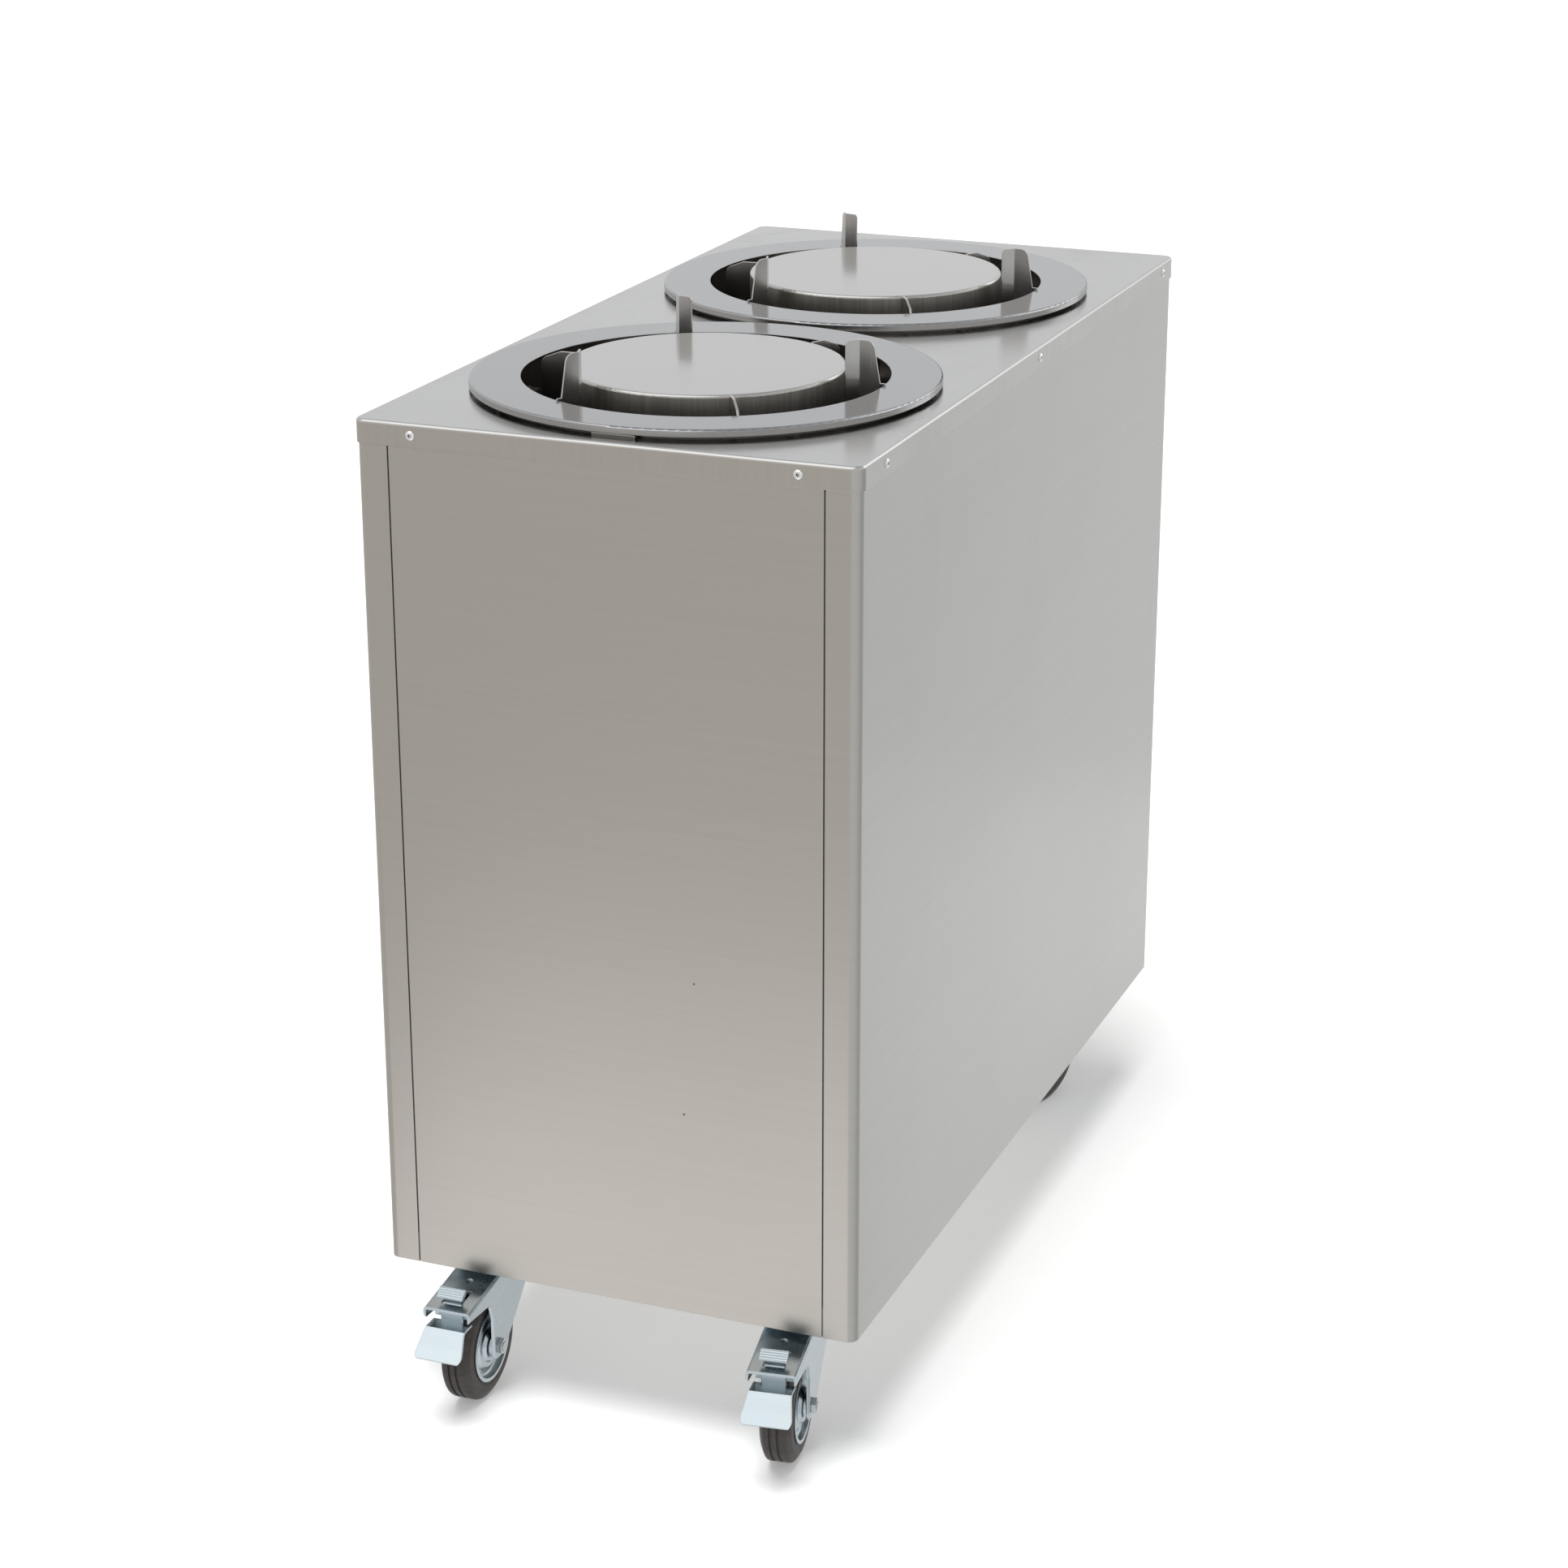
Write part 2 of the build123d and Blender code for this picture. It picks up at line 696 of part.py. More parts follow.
def make_platform_arm():
    """One radial arm at angle 0, with its fin outside the dish and its leg."""
    tip = dish_radius + arm_flat
    outer = arm_outer_radius
    notch_z = dish_top - dish_edge_radius - 1
    notch_inner = dish_radius - dish_sheet - dish_edge_radius
    notch_outer = dish_radius + 0.4
    points = [
        (0, arm_top - arm_depth),
        (0, arm_top),
        (notch_inner, arm_top),
        (notch_inner, notch_z),
        (notch_outer, notch_z),
        (notch_outer, dish_top),
        (tip, dish_top),
        (outer, dish_top - arm_fin_drop),
        (outer, foot_z),
        (outer - arm_leg_width, foot_z),
        (outer - arm_leg_width, arm_top - arm_depth),
    ]
    radii = [0, 0, 0, 0, 0, 0.8, 9, 7, 0, 0, 12]
    arm = outline_plate(points, radii, arm_sheet, Plane.XZ)
    foot_end = spring_orbit + spring_radius
    foot = block(
        outer - arm_leg_width, foot_end, -foot_half_width, foot_half_width, foot_z - foot_sheet, foot_z
    )
    foot = fillet(foot.edges().filter_by(Axis.Z), foot_corner_radius)
    for s in (-spring_offset, spring_offset):
        foot -= disc(hook_hole_radius, foot_z - 5, foot_z + 1, spring_orbit, s)
    gusset_points = [(outer - 1, foot_z - 1), (foot_end - 3, foot_z - 1), (outer - 1, foot_z + arm_gusset)]
    gusset = outline_plate(gusset_points, [0, 0, 0], arm_sheet, Plane.XZ)
    return arm + foot + gusset


def make_platform_frame():
    """Three welded arms on a central hub."""
    hub_bottom = arm_top - arm_depth - 4
    frame = disc(hub_radius, hub_bottom, arm_top)
    for angle in arm_angles:
        frame += Rot(0, 0, angle) * make_platform_arm()
    return frame - disc(hub_bore_radius, hub_bottom - 5, arm_top - 12)


# ---- Castors -----------------------------------------------------------------------
# Each is built at its own swivel axis, trailing to -Y, and then placed and turned.


def at_caster(shape, spot):
    x, y = caster_spot[spot]
    return Pos(x, y, 0) * Rot(0, 0, caster_yaw[spot]) * shape


lever_y = axle_y - 0.54 * wheel_radius
lever_z = roof_nose_z - fork_sheet - lever_roof_gap
flange_z = roof_nose_z - fork_side_depth
fork_inside = fork_half_width - fork_sheet
beyond_fork = fork_half_width + 10


def lever_pin_hole():
    return rod_x(lever_pin_radius + running_clearance, -beyond_fork, beyond_fork, lever_y, lever_z)


def side_extrude(points, radii, half_width):
    """A side outline of (y, z) points, extruded evenly about X = 0."""
    return outline_plate(points, radii, 2 * half_width, Plane.YZ)


def make_fork():
    """A pressed fork: flat roof, two tapering legs and a raised round head."""
    back_y = axle_y + wheel_radius + fork_overhang
    roof_bend_y = axle_y + fork_leg_half_width
    leg_front = axle_y - fork_leg_half_width
    leg_bottom = axle_z - fork_leg_drop
    outline = [
        (nose_y, flange_z),
        (axle_y - 17, flange_z - 3),
        (leg_front, axle_z + 0.62 * wheel_radius),
        (leg_front, leg_bottom),
        (axle_y + 8, leg_bottom),
        (axle_y + 0.72 * wheel_radius, axle_z + 0.28 * wheel_radius),
        (back_y + 6, axle_z + 0.8 * wheel_radius),
        (back_y + 7, roof_back_z - 4),
        (back_y + 7, roof_back_z),
        (roof_bend_y, roof_back_z),
        (nose_y, roof_nose_z),
    ]
    shell = side_extrude(outline, [0, 4, 5, 10, 10, 30, 20, 0, 3, 20, 0], fork_half_width)
    roof_edges = shell.edges().filter_by(lambda e: abs(e.center().X) > fork_half_width - 0.1)
    roof_edges = roof_edges.filter_by(lambda e: e.center().Z > roof_nose_z - 0.5)
    roof_edges = roof_edges.filter_by(lambda e: e.center().Y < back_y + 2)
    shell = fillet(roof_edges, fork_roof_bend)
    roof_slope = roof_rise / (roof_bend_y - nose_y)
    hollow_front = nose_y - 5
    hollow_back = back_y + 30
    hollow = [
        (hollow_front, 0),
        (hollow_back, 0),
        (hollow_back, roof_back_z - fork_sheet),
        (roof_bend_y, roof_back_z - fork_sheet),
        (hollow_front, roof_nose_z - fork_sheet - 5 * roof_slope),
    ]
    inside = side_extrude(hollow, [0, 0, 0, 20, 0], fork_inside)
    bends = inside.edges().filter_by(lambda e: abs(e.center().X) > fork_inside - 0.1)
    bends = bends.filter_by(lambda e: e.center().Z > roof_nose_z - fork_sheet - 2)
    bends = bends.filter_by(lambda e: hollow_front + 1 < e.center().Y < hollow_back - 1)
    shell -= fillet(bends, fork_roof_bend - fork_sheet + 0.2)
    head = disc(fork_head_radius, roof_back_z - fork_sheet, head_top_z)
    head = fillet(head.edges().sort_by(Axis.Z)[-1], head_bend)
    fork = shell + head
    fork -= disc(head_hollow_radius, roof_back_z - fork_sheet - 1, head_top_z - fork_sheet)
    fork -= disc(kingpin_radius + running_clearance, roof_back_z - 9, head_top_z + 1)
    window_half = release_neck_half_width + release_window_gap
    window_y0 = nose_y + release_window_front
    window_y1 = nose_y + release_window_back
    window = block(-window_half, window_half, window_y0, window_y1, flange_z + 3, roof_back_z + 3)
    axle = rod_x(axle_radius + running_clearance, -beyond_fork, beyond_fork, axle_y, axle_z)
    dimple_y = nose_y + roof_dimple_back
    dimple_z = roof_nose_z + roof_slope * roof_dimple_back + roof_dimple_lift
    dimple = Pos(0, dimple_y, dimple_z) * Sphere(roof_dimple_radius)
    return fork - window - axle - lever_pin_hole() - dimple


def make_axle():
    """Axle bolt with its nut and spacer sleeve."""
    bore = axle_radius + running_clearance
    sleeve = rod_x(axle_sleeve_radius, -fork_inside, fork_inside, axle_y, axle_z)
    sleeve -= rod_x(bore, -fork_inside - 1, fork_inside + 1, axle_y, axle_z)
    bolt = rod_x(axle_radius, -fork_half_width, fork_half_width + axle_end, axle_y, axle_z)
    hexagon = hexagon_z(axle_across_flats, 0, axle_nut_height)
    nut = Pos(fork_half_width, axle_y, axle_z) * Rot(0, 90, 0) * hexagon
    nut -= rod_x(bore, 0, beyond_fork, axle_y, axle_z)
    head = Pos(-fork_half_width, axle_y, axle_z) * Rot(0, -90, 0) * hexagon
    return [bolt + head, nut, sleeve]


def make_lever_pin():
    """The flush pin that the brake's pedal and its release turn on."""
    return rod_x(lever_pin_radius, -fork_half_width, fork_half_width, lever_y, lever_z)


def wheel_turned(points):
    """Turns an (x, radius) half section about the axle line."""
    face = Plane.XY * make_face(Polyline(*points, close=True))
    return Pos(0, axle_y, axle_z) * revolve(face, Axis.X)


def make_rim():
    """Pressed half discs, dished between a rolled lip and the hub tube."""
    bore = axle_sleeve_radius + running_clearance
    hub = fork_inside - hub_side_gap
    lip = rim_half_width
    inner = rim_radius - rim_sheet
    right = [
        (hub, bore),
        (hub, hub_outer_radius),
        (lip + 1.4, hub_outer_radius + 0.8),
        (lip + 0.8, hub_outer_radius + 4.5),
        (lip - 2.0, hub_outer_radius + 6.5),
        (lip - 2.4, hub_outer_radius + 10.5),
        (lip - 5.4, inner - 6.0),
        (lip - 6.0, inner - 3.0),
        (lip - 5.0, inner - 1.0),
        (lip, inner),
        (lip, rim_radius + 1.6),
        (lip - rim_sheet, rim_radius + 1.6),
        (lip - rim_sheet - 0.4, rim_radius),
    ]
    left = [(-x, radius) for x, radius in reversed(right)]
    return wheel_turned(right + left)


def make_tyre():
    """A solid rubber tyre with two grooves in its tread."""
    inner = rim_radius + rim_tyre_gap
    seat = rim_half_width - rim_sheet - 0.5
    side = [
        (seat, inner),
        (tyre_half_width - 0.9, inner + 2.2),
        (tyre_half_width, inner + 5),
        (tyre_half_width - 0.5, wheel_radius - 7),
        (tread_half_width + 1.0, wheel_radius - 2.6),
        (tread_half_width - 0.4, wheel_radius - 0.7),
        (tread_half_width - 2.4, wheel_radius),
        (4.6, wheel_radius),
        (4.2, wheel_radius - tread_groove),
        (2.4, wheel_radius - tread_groove),
        (2.0, wheel_radius),
    ]
    other = [(-x, radius) for x, radius in reversed(side)]
    return wheel_turned(side + other)


def make_brake_pedal():
    """A wide foot plate on a shelf, hung by two ears from the levers' pin."""
    tongue_y = nose_y + pedal_tongue_back
    shelf_z = roof_nose_z - pedal_shelf_drop
    tip_y = -pedal_tip_reach
    tip_z = shelf_z - pedal_face_drop
    shelf_y = nose_y - pedal_shelf_front
    half = pedal_sheet / 2
    gap_half = release_stem_half_width + lever_side_gap
    wide = pedal_tongue_half_width
    back = tongue_y + half
    tongue_profile = [
        (lever_y - 2, lever_z - 4.2),
        (back, lever_z - 4.6),
        (back, shelf_z - half),
        (tongue_y - half, shelf_z - half),
        (tongue_y - half, lever_z - 2.4),
        (lever_y - 2, lever_z - 2.0),
    ]
    tongue = side_extrude(tongue_profile, [0, 0.6, 0, 0, 0, 0], wide)
    tongue += rod_x(ear_radius, -wide, wide, lever_y, lever_z)
    cheek_z = lever_z - 4.6
    cheek_top = cheek_z + pedal_cheek_height
    tongue += block(-wide, wide, tongue_y - half, back, lever_z - 4, cheek_top)
    for side in (-1, 1):
        near, far = sorted((side * (wide - 1), side * pedal_cheek_half_width))
        tongue += block(near, far, back, tongue_y + pedal_cheek_length, cheek_z, cheek_top)
    tongue -= block(-gap_half, gap_half, lever_y - 4.4, lever_y + 9, lever_z - 9, lever_z + 9)
    shelf_half = pedal_shelf_half_width
    flat = block(-shelf_half, shelf_half, shelf_y, back, shelf_z - half, shelf_z + half)
    face_profile = [
        (shelf_y + 1, shelf_z + half),
        (shelf_y - 1.2, shelf_z + half),
        (shelf_y - 5, shelf_z - 2.4),
        (shelf_y - 12, shelf_z - 11.5),
        (tip_y + 0.4, tip_z + 1.2),
        (tip_y + 1.6, tip_z),
        (shelf_y - 10.4, shelf_z - 12.7),
        (shelf_y - 3.6, shelf_z - 3.9),
        (shelf_y - 0.6, shelf_z - half),
        (shelf_y + 1, shelf_z - half),
    ]
    bends = [0, 1.5, 4, 30, 0.5, 0.5, 30, 3, 0.6, 0]
    face = side_extrude(face_profile, bends, pedal_half_width)
    trapezoid = [
        (-shelf_half, shelf_z + 2),
        (shelf_half, shelf_z + 2),
        (pedal_half_width, tip_z),
        (-pedal_half_width, tip_z),
    ]
    corners = [0, 0, pedal_corner_radius, pedal_corner_radius]
    window = Pos(0, shelf_y, 0) * outline_plate(trapezoid, corners, 99, Plane.XZ)
    return tongue + flat + (face & window) - lever_pin_hole()


def make_brake_release():
    """A ribbed thumb ramp that stands through the roof's window on the same pin."""
    top = roof_nose_z + release_height
    bottom = top - release_pad_height
    pad_front = nose_y + release_pad_front
    pad_back = pad_front + release_pad_slope
    stem_y = nose_y + release_stem_back
    stem_half = release_stem_half_width
    low = lever_z + 1.2
    front = stem_y - release_sheet / 2
    back = stem_y + release_sheet / 2
    neck_half = release_neck_half_width
    eye = rod_x(release_eye_radius, -stem_half, stem_half, lever_y, lever_z)
    arm = block(-stem_half, stem_half, front, lever_y, low, low + release_sheet + 0.2)
    neck = block(-stem_half, stem_half, front, back, low, roof_nose_z)
    riser = block(-neck_half, neck_half, front, back, roof_nose_z - 1.5, top - 2.5)
    pad_profile = [
        (pad_front, bottom),
        (pad_front + 2.4, bottom - 1.2),
        (back, bottom + 1.5),
        (pad_back + 1.6, top - 1.2),
        (pad_back, top),
    ]
    pad = side_extrude(pad_profile, [0.8, 0.8, 0, 0.8, 0.6], release_half_width)
    groove_half = release_half_width + 1
    for n in range(release_rib_count):
        share = (n + 0.5) / release_rib_count
        groove_y = pad_front + release_pad_slope * share
        groove_z = bottom + release_pad_height * share
        pad -= rod_x(release_rib_radius, -groove_half, groove_half, groove_y, groove_z)
    return eye + arm + neck + riser + pad - lever_pin_hole()


def make_caster_plates():
    """Top plates with their lower race and kingpin, bolted under the base."""
    half_x = caster_plate_width / 2
    half_y = caster_plate_length / 2
    cap_bottom = roof_back_z - fork_sheet - 3
    plate = slab(-half_x, half_x, -half_y, half_y, 8, plate_bottom_z, caster_height)
    plate += disc(fork_head_radius - 4, race_bottom_z, plate_bottom_z)
    plate += disc(kingpin_radius, cap_bottom, plate_bottom_z + 1)
    plate += disc(kingpin_radius + kingpin_cap_lip, cap_bottom, head_top_z - fork_sheet - kingpin_cap_gap)
    holes = bolt_holes(plate_bottom_z - 1, caster_height + 1)
    return [(Pos(x, y, 0) * plate - holes).solid() for x, y in caster_spot.values()]


# ---- Controls ----------------------------------------------------------------------

plate_face = rear_y + control_plate_sheet
knob_x = {"front": -knob_spacing / 2, "rear": knob_spacing / 2}
switch_x = {"front": -switch_spacing / 2, "rear": switch_spacing / 2}
rocker_y = plate_face - rocker_pin_depth


def control_screw_spots():
    dx = control_plate_width / 2 - control_screw_inset
    dz = control_plate_height / 2 - control_screw_inset
    return [(x, control_z + z) for x in (-dx, dx) for z in (-dz, dz)]


def make_control_plate():
    outline = RectangleRounded(control_plate_width, control_plate_height, 4)
    plate = Pos(0, rear_y, control_z) * Rot(-90, 0, 0) * extrude(outline, control_plate_sheet)
    y0 = rear_y - 1
    y1 = plate_face + 1
    half_x = switch_width / 2 + panel_hole_clearance
    half_z = switch_height / 2 + panel_hole_clearance
    for unit in wells():
        x = switch_x[unit]
        plate -= rod_y(thermostat_neck_radius + panel_hole_clearance, y0, y1, knob_x[unit], control_z)
        plate -= block(x - half_x, x + half_x, y0, y1, control_z - half_z, control_z + half_z)
    for x, z in control_screw_spots():
        plate -= rod_y(control_screw_radius + panel_hole_clearance, y0, y1, x, z)
    return plate


def make_control_screws():
    """Slotted pan-head screws through the control plate and the rear panel."""
    rim = control_screw_head_radius
    section = [(0, 0), (rim, 0), (rim - 0.6, 0.67 * control_screw_head), (0, control_screw_head)]
    slot_y = plate_face + 0.6 * control_screw_head
    screws = []
    for x, z in control_screw_spots():
        head = Pos(x, plate_face, z) * Rot(-90, 0, 0) * revolved(section)
        slot = block(x - rim, x + rim, slot_y, plate_face + 3, z - 0.45, z + 0.45)
        screws.append(head + rod_y(control_screw_radius, rear_y - 8, plate_face + 0.1, x, z) - slot)
    return screws


def make_thermostat(unit):
    """Thermostat body behind the plate, with a threaded neck for the spindle."""
    back = rear_y - thermostat_depth
    half_x = thermostat_width / 2
    half_z = half_x - 2
    x = knob_x[unit]
    body = block(x - half_x, x + half_x, back, rear_y - 0.2, control_z - half_z, control_z + half_z)
    body = fillet(body.edges().filter_by(Axis.Y), 4)
    body += rod_y(thermostat_neck_radius, rear_y - 1, plate_face - 0.2, x, control_z)
    body += rod_y(0.36 * thermostat_width, back - 7, back, x, control_z)
    return body - rod_y(spindle_radius + running_clearance, rear_y - 22, plate_face + 5, x, control_z)


def make_knob(unit):
    """Skirted knob on its spindle, with a raised grip bar and pointer."""
    x = knob_x[unit]
    base = plate_face + knob_gap
    tip = base + knob_height
    section = [(0, 0), (knob_radius, 0), (knob_radius, 3), (knob_radius - 2.5, 5.5), (0, 6.5)]
    skirt = Pos(x, base, control_z) * Rot(-90, 0, 0) * revolved(section)
    bar = extrude(SlotOverall(2 * knob_radius - 4, 11), knob_height - 4)
    grip = Pos(x, base + 4, control_z) * Rot(-90, 0, 0) * bar
    grip = fillet(grip.faces().sort_by(Axis.Y)[-1].edges(), 1.6)
    spindle = rod_y(spindle_radius, rear_y - 20, base + 4, x, control_z)
    mark_end = x + knob_radius - 3.5
    pointer = block(mark_end - 6.5, mark_end, tip - 0.2, tip, control_z - 0.8, control_z + 0.8)
    return skirt + grip + spindle - pointer


def make_switch_housing(unit):
    """A snap-in switch body with its bezel, tabs and the rocker's two trunnion pins."""
    x = switch_x[unit]
    half_x = switch_width / 2
    half_z = switch_height / 2
    back = rear_y - switch_depth
    bezel_x = half_x + switch_bezel
    bezel_z = half_z + switch_bezel
    bezel_top = plate_face + switch_bezel_height
    bezel = block(x - bezel_x, x + bezel_x, plate_face, bezel_top, control_z - bezel_z, control_z + bezel_z)
    body = fillet(bezel.edges().filter_by(Axis.Y), 2)
    body += block(x - half_x, x + half_x, back, plate_face + 0.5, control_z - half_z, control_z + half_z)
    pocket_x = rocker_width / 2 + rocker_side_gap
    pocket_z = rocker_height / 2 + rocker_end_gap
    body -= block(
        x - pocket_x, x + pocket_x, rear_y - 9, bezel_top + 1, control_z - pocket_z, control_z + pocket_z
    )
    for dx in (-5, 0, 5):
        tab_x = x + dx
        body += block(tab_x - 0.4, tab_x + 0.4, back - 8, back + 1, control_z - 3, control_z + 3)
    pin_reach = rocker_width / 2 + 2
    pin_inner = rocker_width / 2 - 1.7
    for x0, x1 in ((x - pin_reach, x - pin_inner), (x + pin_inner, x + pin_reach)):
        body += rod_x(rocker_pin_radius, x0, x1, rocker_y, control_z)
    return body


def make_rocker(unit):
    """A V-topped rocker, tilted to its off side, on two side trunnions."""
    half = rocker_height / 2
    profile = [
        (rocker_y - 3.0, -5),
        (rocker_y + 2.0, -half + 0.8),
        (rocker_y + 8.2, -half + 0.2),
        (rocker_y + 5.6, 0),
        (rocker_y + 8.2, half - 0.2),
        (rocker_y + 2.0, half - 0.8),
        (rocker_y - 3.0, 5),
    ]
    paddle = outline_plate(profile, [0, 1, 1, 14, 1, 1, 0], rocker_width, Plane.YZ)
    for x0 in (-rocker_width / 2 - 1, rocker_width / 2 - 2):
        paddle -= rod_x(rocker_pin_radius + running_clearance, x0, x0 + 3, rocker_y, 0)
    tilt = Pos(0, rocker_y, 0) * Rot(rocker_tilt, 0, 0) * Pos(0, -rocker_y, 0)
    return Pos(switch_x[unit], 0, control_z) * tilt * paddle


def make_cable_gland():
    """Hexagonal gland through the rear panel, with its dome nut and lock nut."""
    turn = Pos(gland_side, rear_y, base_z + gland_height) * Rot(-90, 0, 0)
    half = gland_hex / 2
    body = hexagon_z(gland_hex, 0, 6) + disc(gland_thread_radius, -gland_depth, 8)
    nut_section = [(0, 6.2), (half, 6.2), (half, 13), (half - 2.5, gland_reach), (0, gland_reach)]
    dome = revolved(nut_section) & hexagon_z(gland_hex - 1, 6.2, gland_reach)
    lock_nut = hexagon_z(gland_hex, -panel_sheet - 5, -panel_sheet)
    lock_nut -= disc(gland_thread_radius + 0.02, -20, 9)
    bore = disc(gland_bore_radius, -gland_depth - 1, gland_reach + 1)
    return [turn * (body + dome - bore), turn * lock_nut]


terminal_y = rear_y - caster_end_inset - channel_width / 2 - terminal_gap
terminal_post_y = terminal_y - terminal_depth / 2
terminal_rows = [(n - 2) * terminal_pitch for n in range(5)]
block_floor = base_z + pan_sheet


def make_terminal_block():
    """A strip of five screw terminals on the base pan."""
    x = gland_side
    half = 2.5 * terminal_pitch + 0.5
    base_top = block_floor + terminal_base_height
    strip = block(x - half, x + half, terminal_y - terminal_depth, terminal_y, block_floor, base_top)
    post_top = block_floor + terminal_height
    for dx in terminal_rows:
        x0 = x + dx - 4.5
        strip += block(x0, x0 + 9, terminal_post_y - 6, terminal_post_y + 6, base_top - 1, post_top)
        strip -= disc(1.8, post_top - 4, post_top + 4, x + dx, terminal_post_y - 3)
    return strip


def lead_along(points, radii):
    path = FilletPolyline(*points, radius=radii)
    return sweep(Plane(origin=path @ 0, z_dir=path % 0) * Circle(lead_radius), path=path)


def make_wiring():
    """Insulated leads: gland to terminal block, and block to each heater terminal."""
    x = gland_side
    gland_z = base_z + gland_height
    over_z = block_floor + channel_height + 2 * lead_radius
    gland_end = rear_y - gland_depth - lead_lift
    supply = [
        (x, gland_end, gland_z),
        (x, gland_end - 16, gland_z),
        (x, gland_end - 28, over_z),
        (x, terminal_post_y, over_z),
        (x, terminal_post_y, block_floor + terminal_height),
    ]
    leads = [lead_along(supply, [7, 8, 8])]
    z = block_floor + lead_radius + lead_lift
    terminal_foot = well_floor - heater_pin_tail
    rows = {"rear": (terminal_rows[1], terminal_rows[0]), "front": (terminal_rows[4], terminal_rows[3])}
    for unit in wells():
        for dx, (tx, ty) in zip(rows[unit], heater_terminal_spots()):
            y = well_y[unit] + ty
            start = (x + dx, terminal_y - terminal_depth, z)
            route = [start, (x + dx, y, z), (tx, y, z), (tx, y, terminal_foot)]
            leads.append(lead_along(route, [8, 7]))
    return leads


# ---- Write every node --------------------------------------------------------------

save("top_panel", [make_top_panel()])
save("left_side_panel", [make_side_panel(-1)])
save("right_side_panel", [make_side_panel(1)])
save("front_end_panel", [make_end_panel(front_y, front_y + panel_sheet)])
save("rear_end_panel", [make_rear_end_panel()])
save("corner_posts", make_corner_posts())
save("base_pan", [make_base_pan()])
save("caster_channels", make_caster_channels())
save("caster_bolts", make_caster_bolts())
save("caster_plates", make_caster_plates())
save("cap_rivets", [Pos(x, y, z) * Rot(0, 0, turn) * rivet() for x, y, z, turn in rivet_places()])

for unit in wells():
    save(unit + "_well_tube", [at_well(make_well_tube(), unit)])
    save(unit + "_well_base", [at_well(make_well_base(), unit)])
    save(unit + "_heating_element", [at_well(make_heater(), unit)])
    save(unit + "_collar_ring", [at_well(make_collar(), unit)])
    save(unit + "_guide_plates", [at_well(make_guide_plate(), unit, a) for a in guide_angles])
    save(unit + "_lift_springs", make_lift_springs(unit))
    save(unit + "_platform_dish", [at_well(make_platform_dish(), unit)])
    save(unit + "_platform_frame", [at_well(make_platform_frame(), unit)])
    save(unit + "_thermostat_knob", [make_knob(unit)])
    save(unit + "_switch_rocker", [make_rocker(unit)])

spacers = make_collar_spacers("front") + make_collar_spacers("rear")
save("collar_supports", spacers + [make_collar_clip()])
save("spring_hangers", make_spring_hangers("front") + make_spring_hangers("rear"))
save("control_plate", [make_control_plate()])
save("control_screws", make_control_screws())
save("thermostats", [make_thermostat(unit) for unit in wells()])
save("switch_housings", [make_switch_housing(unit) for unit in wells()])
save("cable_gland", make_cable_gland())
save("terminal_block", [make_terminal_block()])
save("wiring_leads", make_wiring())

for spot in caster_spot:
    braked = spot in braked_casters
    fasteners = make_axle() + ([make_lever_pin()] if braked else [])
    save(spot + "_caster_fork", [at_caster(make_fork(), spot)])
    save(spot + "_caster_axle", [at_caster(piece, spot) for piece in fasteners])
    save(spot + "_caster_rim", [at_caster(make_rim(), spot)])
    save(spot + "_caster_tyre", [at_caster(make_tyre(), spot)])
    if braked:
        save(spot + "_brake_pedal", [at_caster(make_brake_pedal(), spot)])
        save(spot + "_brake_release", [at_caster(make_brake_release(), spot)])
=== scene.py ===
import json
import math

import bmesh
import bpy
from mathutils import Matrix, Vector


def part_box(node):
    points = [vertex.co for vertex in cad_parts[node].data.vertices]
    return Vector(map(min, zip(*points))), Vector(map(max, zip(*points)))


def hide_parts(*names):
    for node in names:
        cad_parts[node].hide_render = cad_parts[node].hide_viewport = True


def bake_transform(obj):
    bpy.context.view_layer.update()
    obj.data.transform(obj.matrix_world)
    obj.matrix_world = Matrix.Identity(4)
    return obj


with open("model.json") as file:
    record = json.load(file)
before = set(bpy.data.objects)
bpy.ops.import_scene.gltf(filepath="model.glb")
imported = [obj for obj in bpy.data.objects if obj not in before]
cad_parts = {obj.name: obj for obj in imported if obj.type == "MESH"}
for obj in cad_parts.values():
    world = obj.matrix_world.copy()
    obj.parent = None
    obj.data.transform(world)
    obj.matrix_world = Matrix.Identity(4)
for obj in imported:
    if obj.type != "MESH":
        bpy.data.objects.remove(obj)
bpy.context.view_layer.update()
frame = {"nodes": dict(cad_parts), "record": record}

# The plate warmer's looks. Metres, in the CAD frame: +X right, +Y to the control end, +Z up.

# ---- Settings ----------------------------------------------------------------------

CAMERA_PLACE = (1.1036, -2.82305, 1.5429)
CAMERA_TURN = (70.2003, 0.0539, 21.5274)
CAMERA_LENS = 80.476
SENSOR_WIDTH = 36.0

# Lift springs, from the hangers' shelf down to the platform's feet
SPRING_ANGLES = (62.5, 182.5, 302.5)
SPRING_ORBIT = 0.166
SPRING_OFFSET = 0.011
SPRING_RADIUS = 0.0055
SPRING_WIRE = 0.0007
SPRING_PITCH = 0.00155
SPRING_STEPS = 12
WIRE_SIDES = 5
HOOK_PAST = 0.0042
HOOK_REACH = 0.003

UNITS = ("front", "rear")

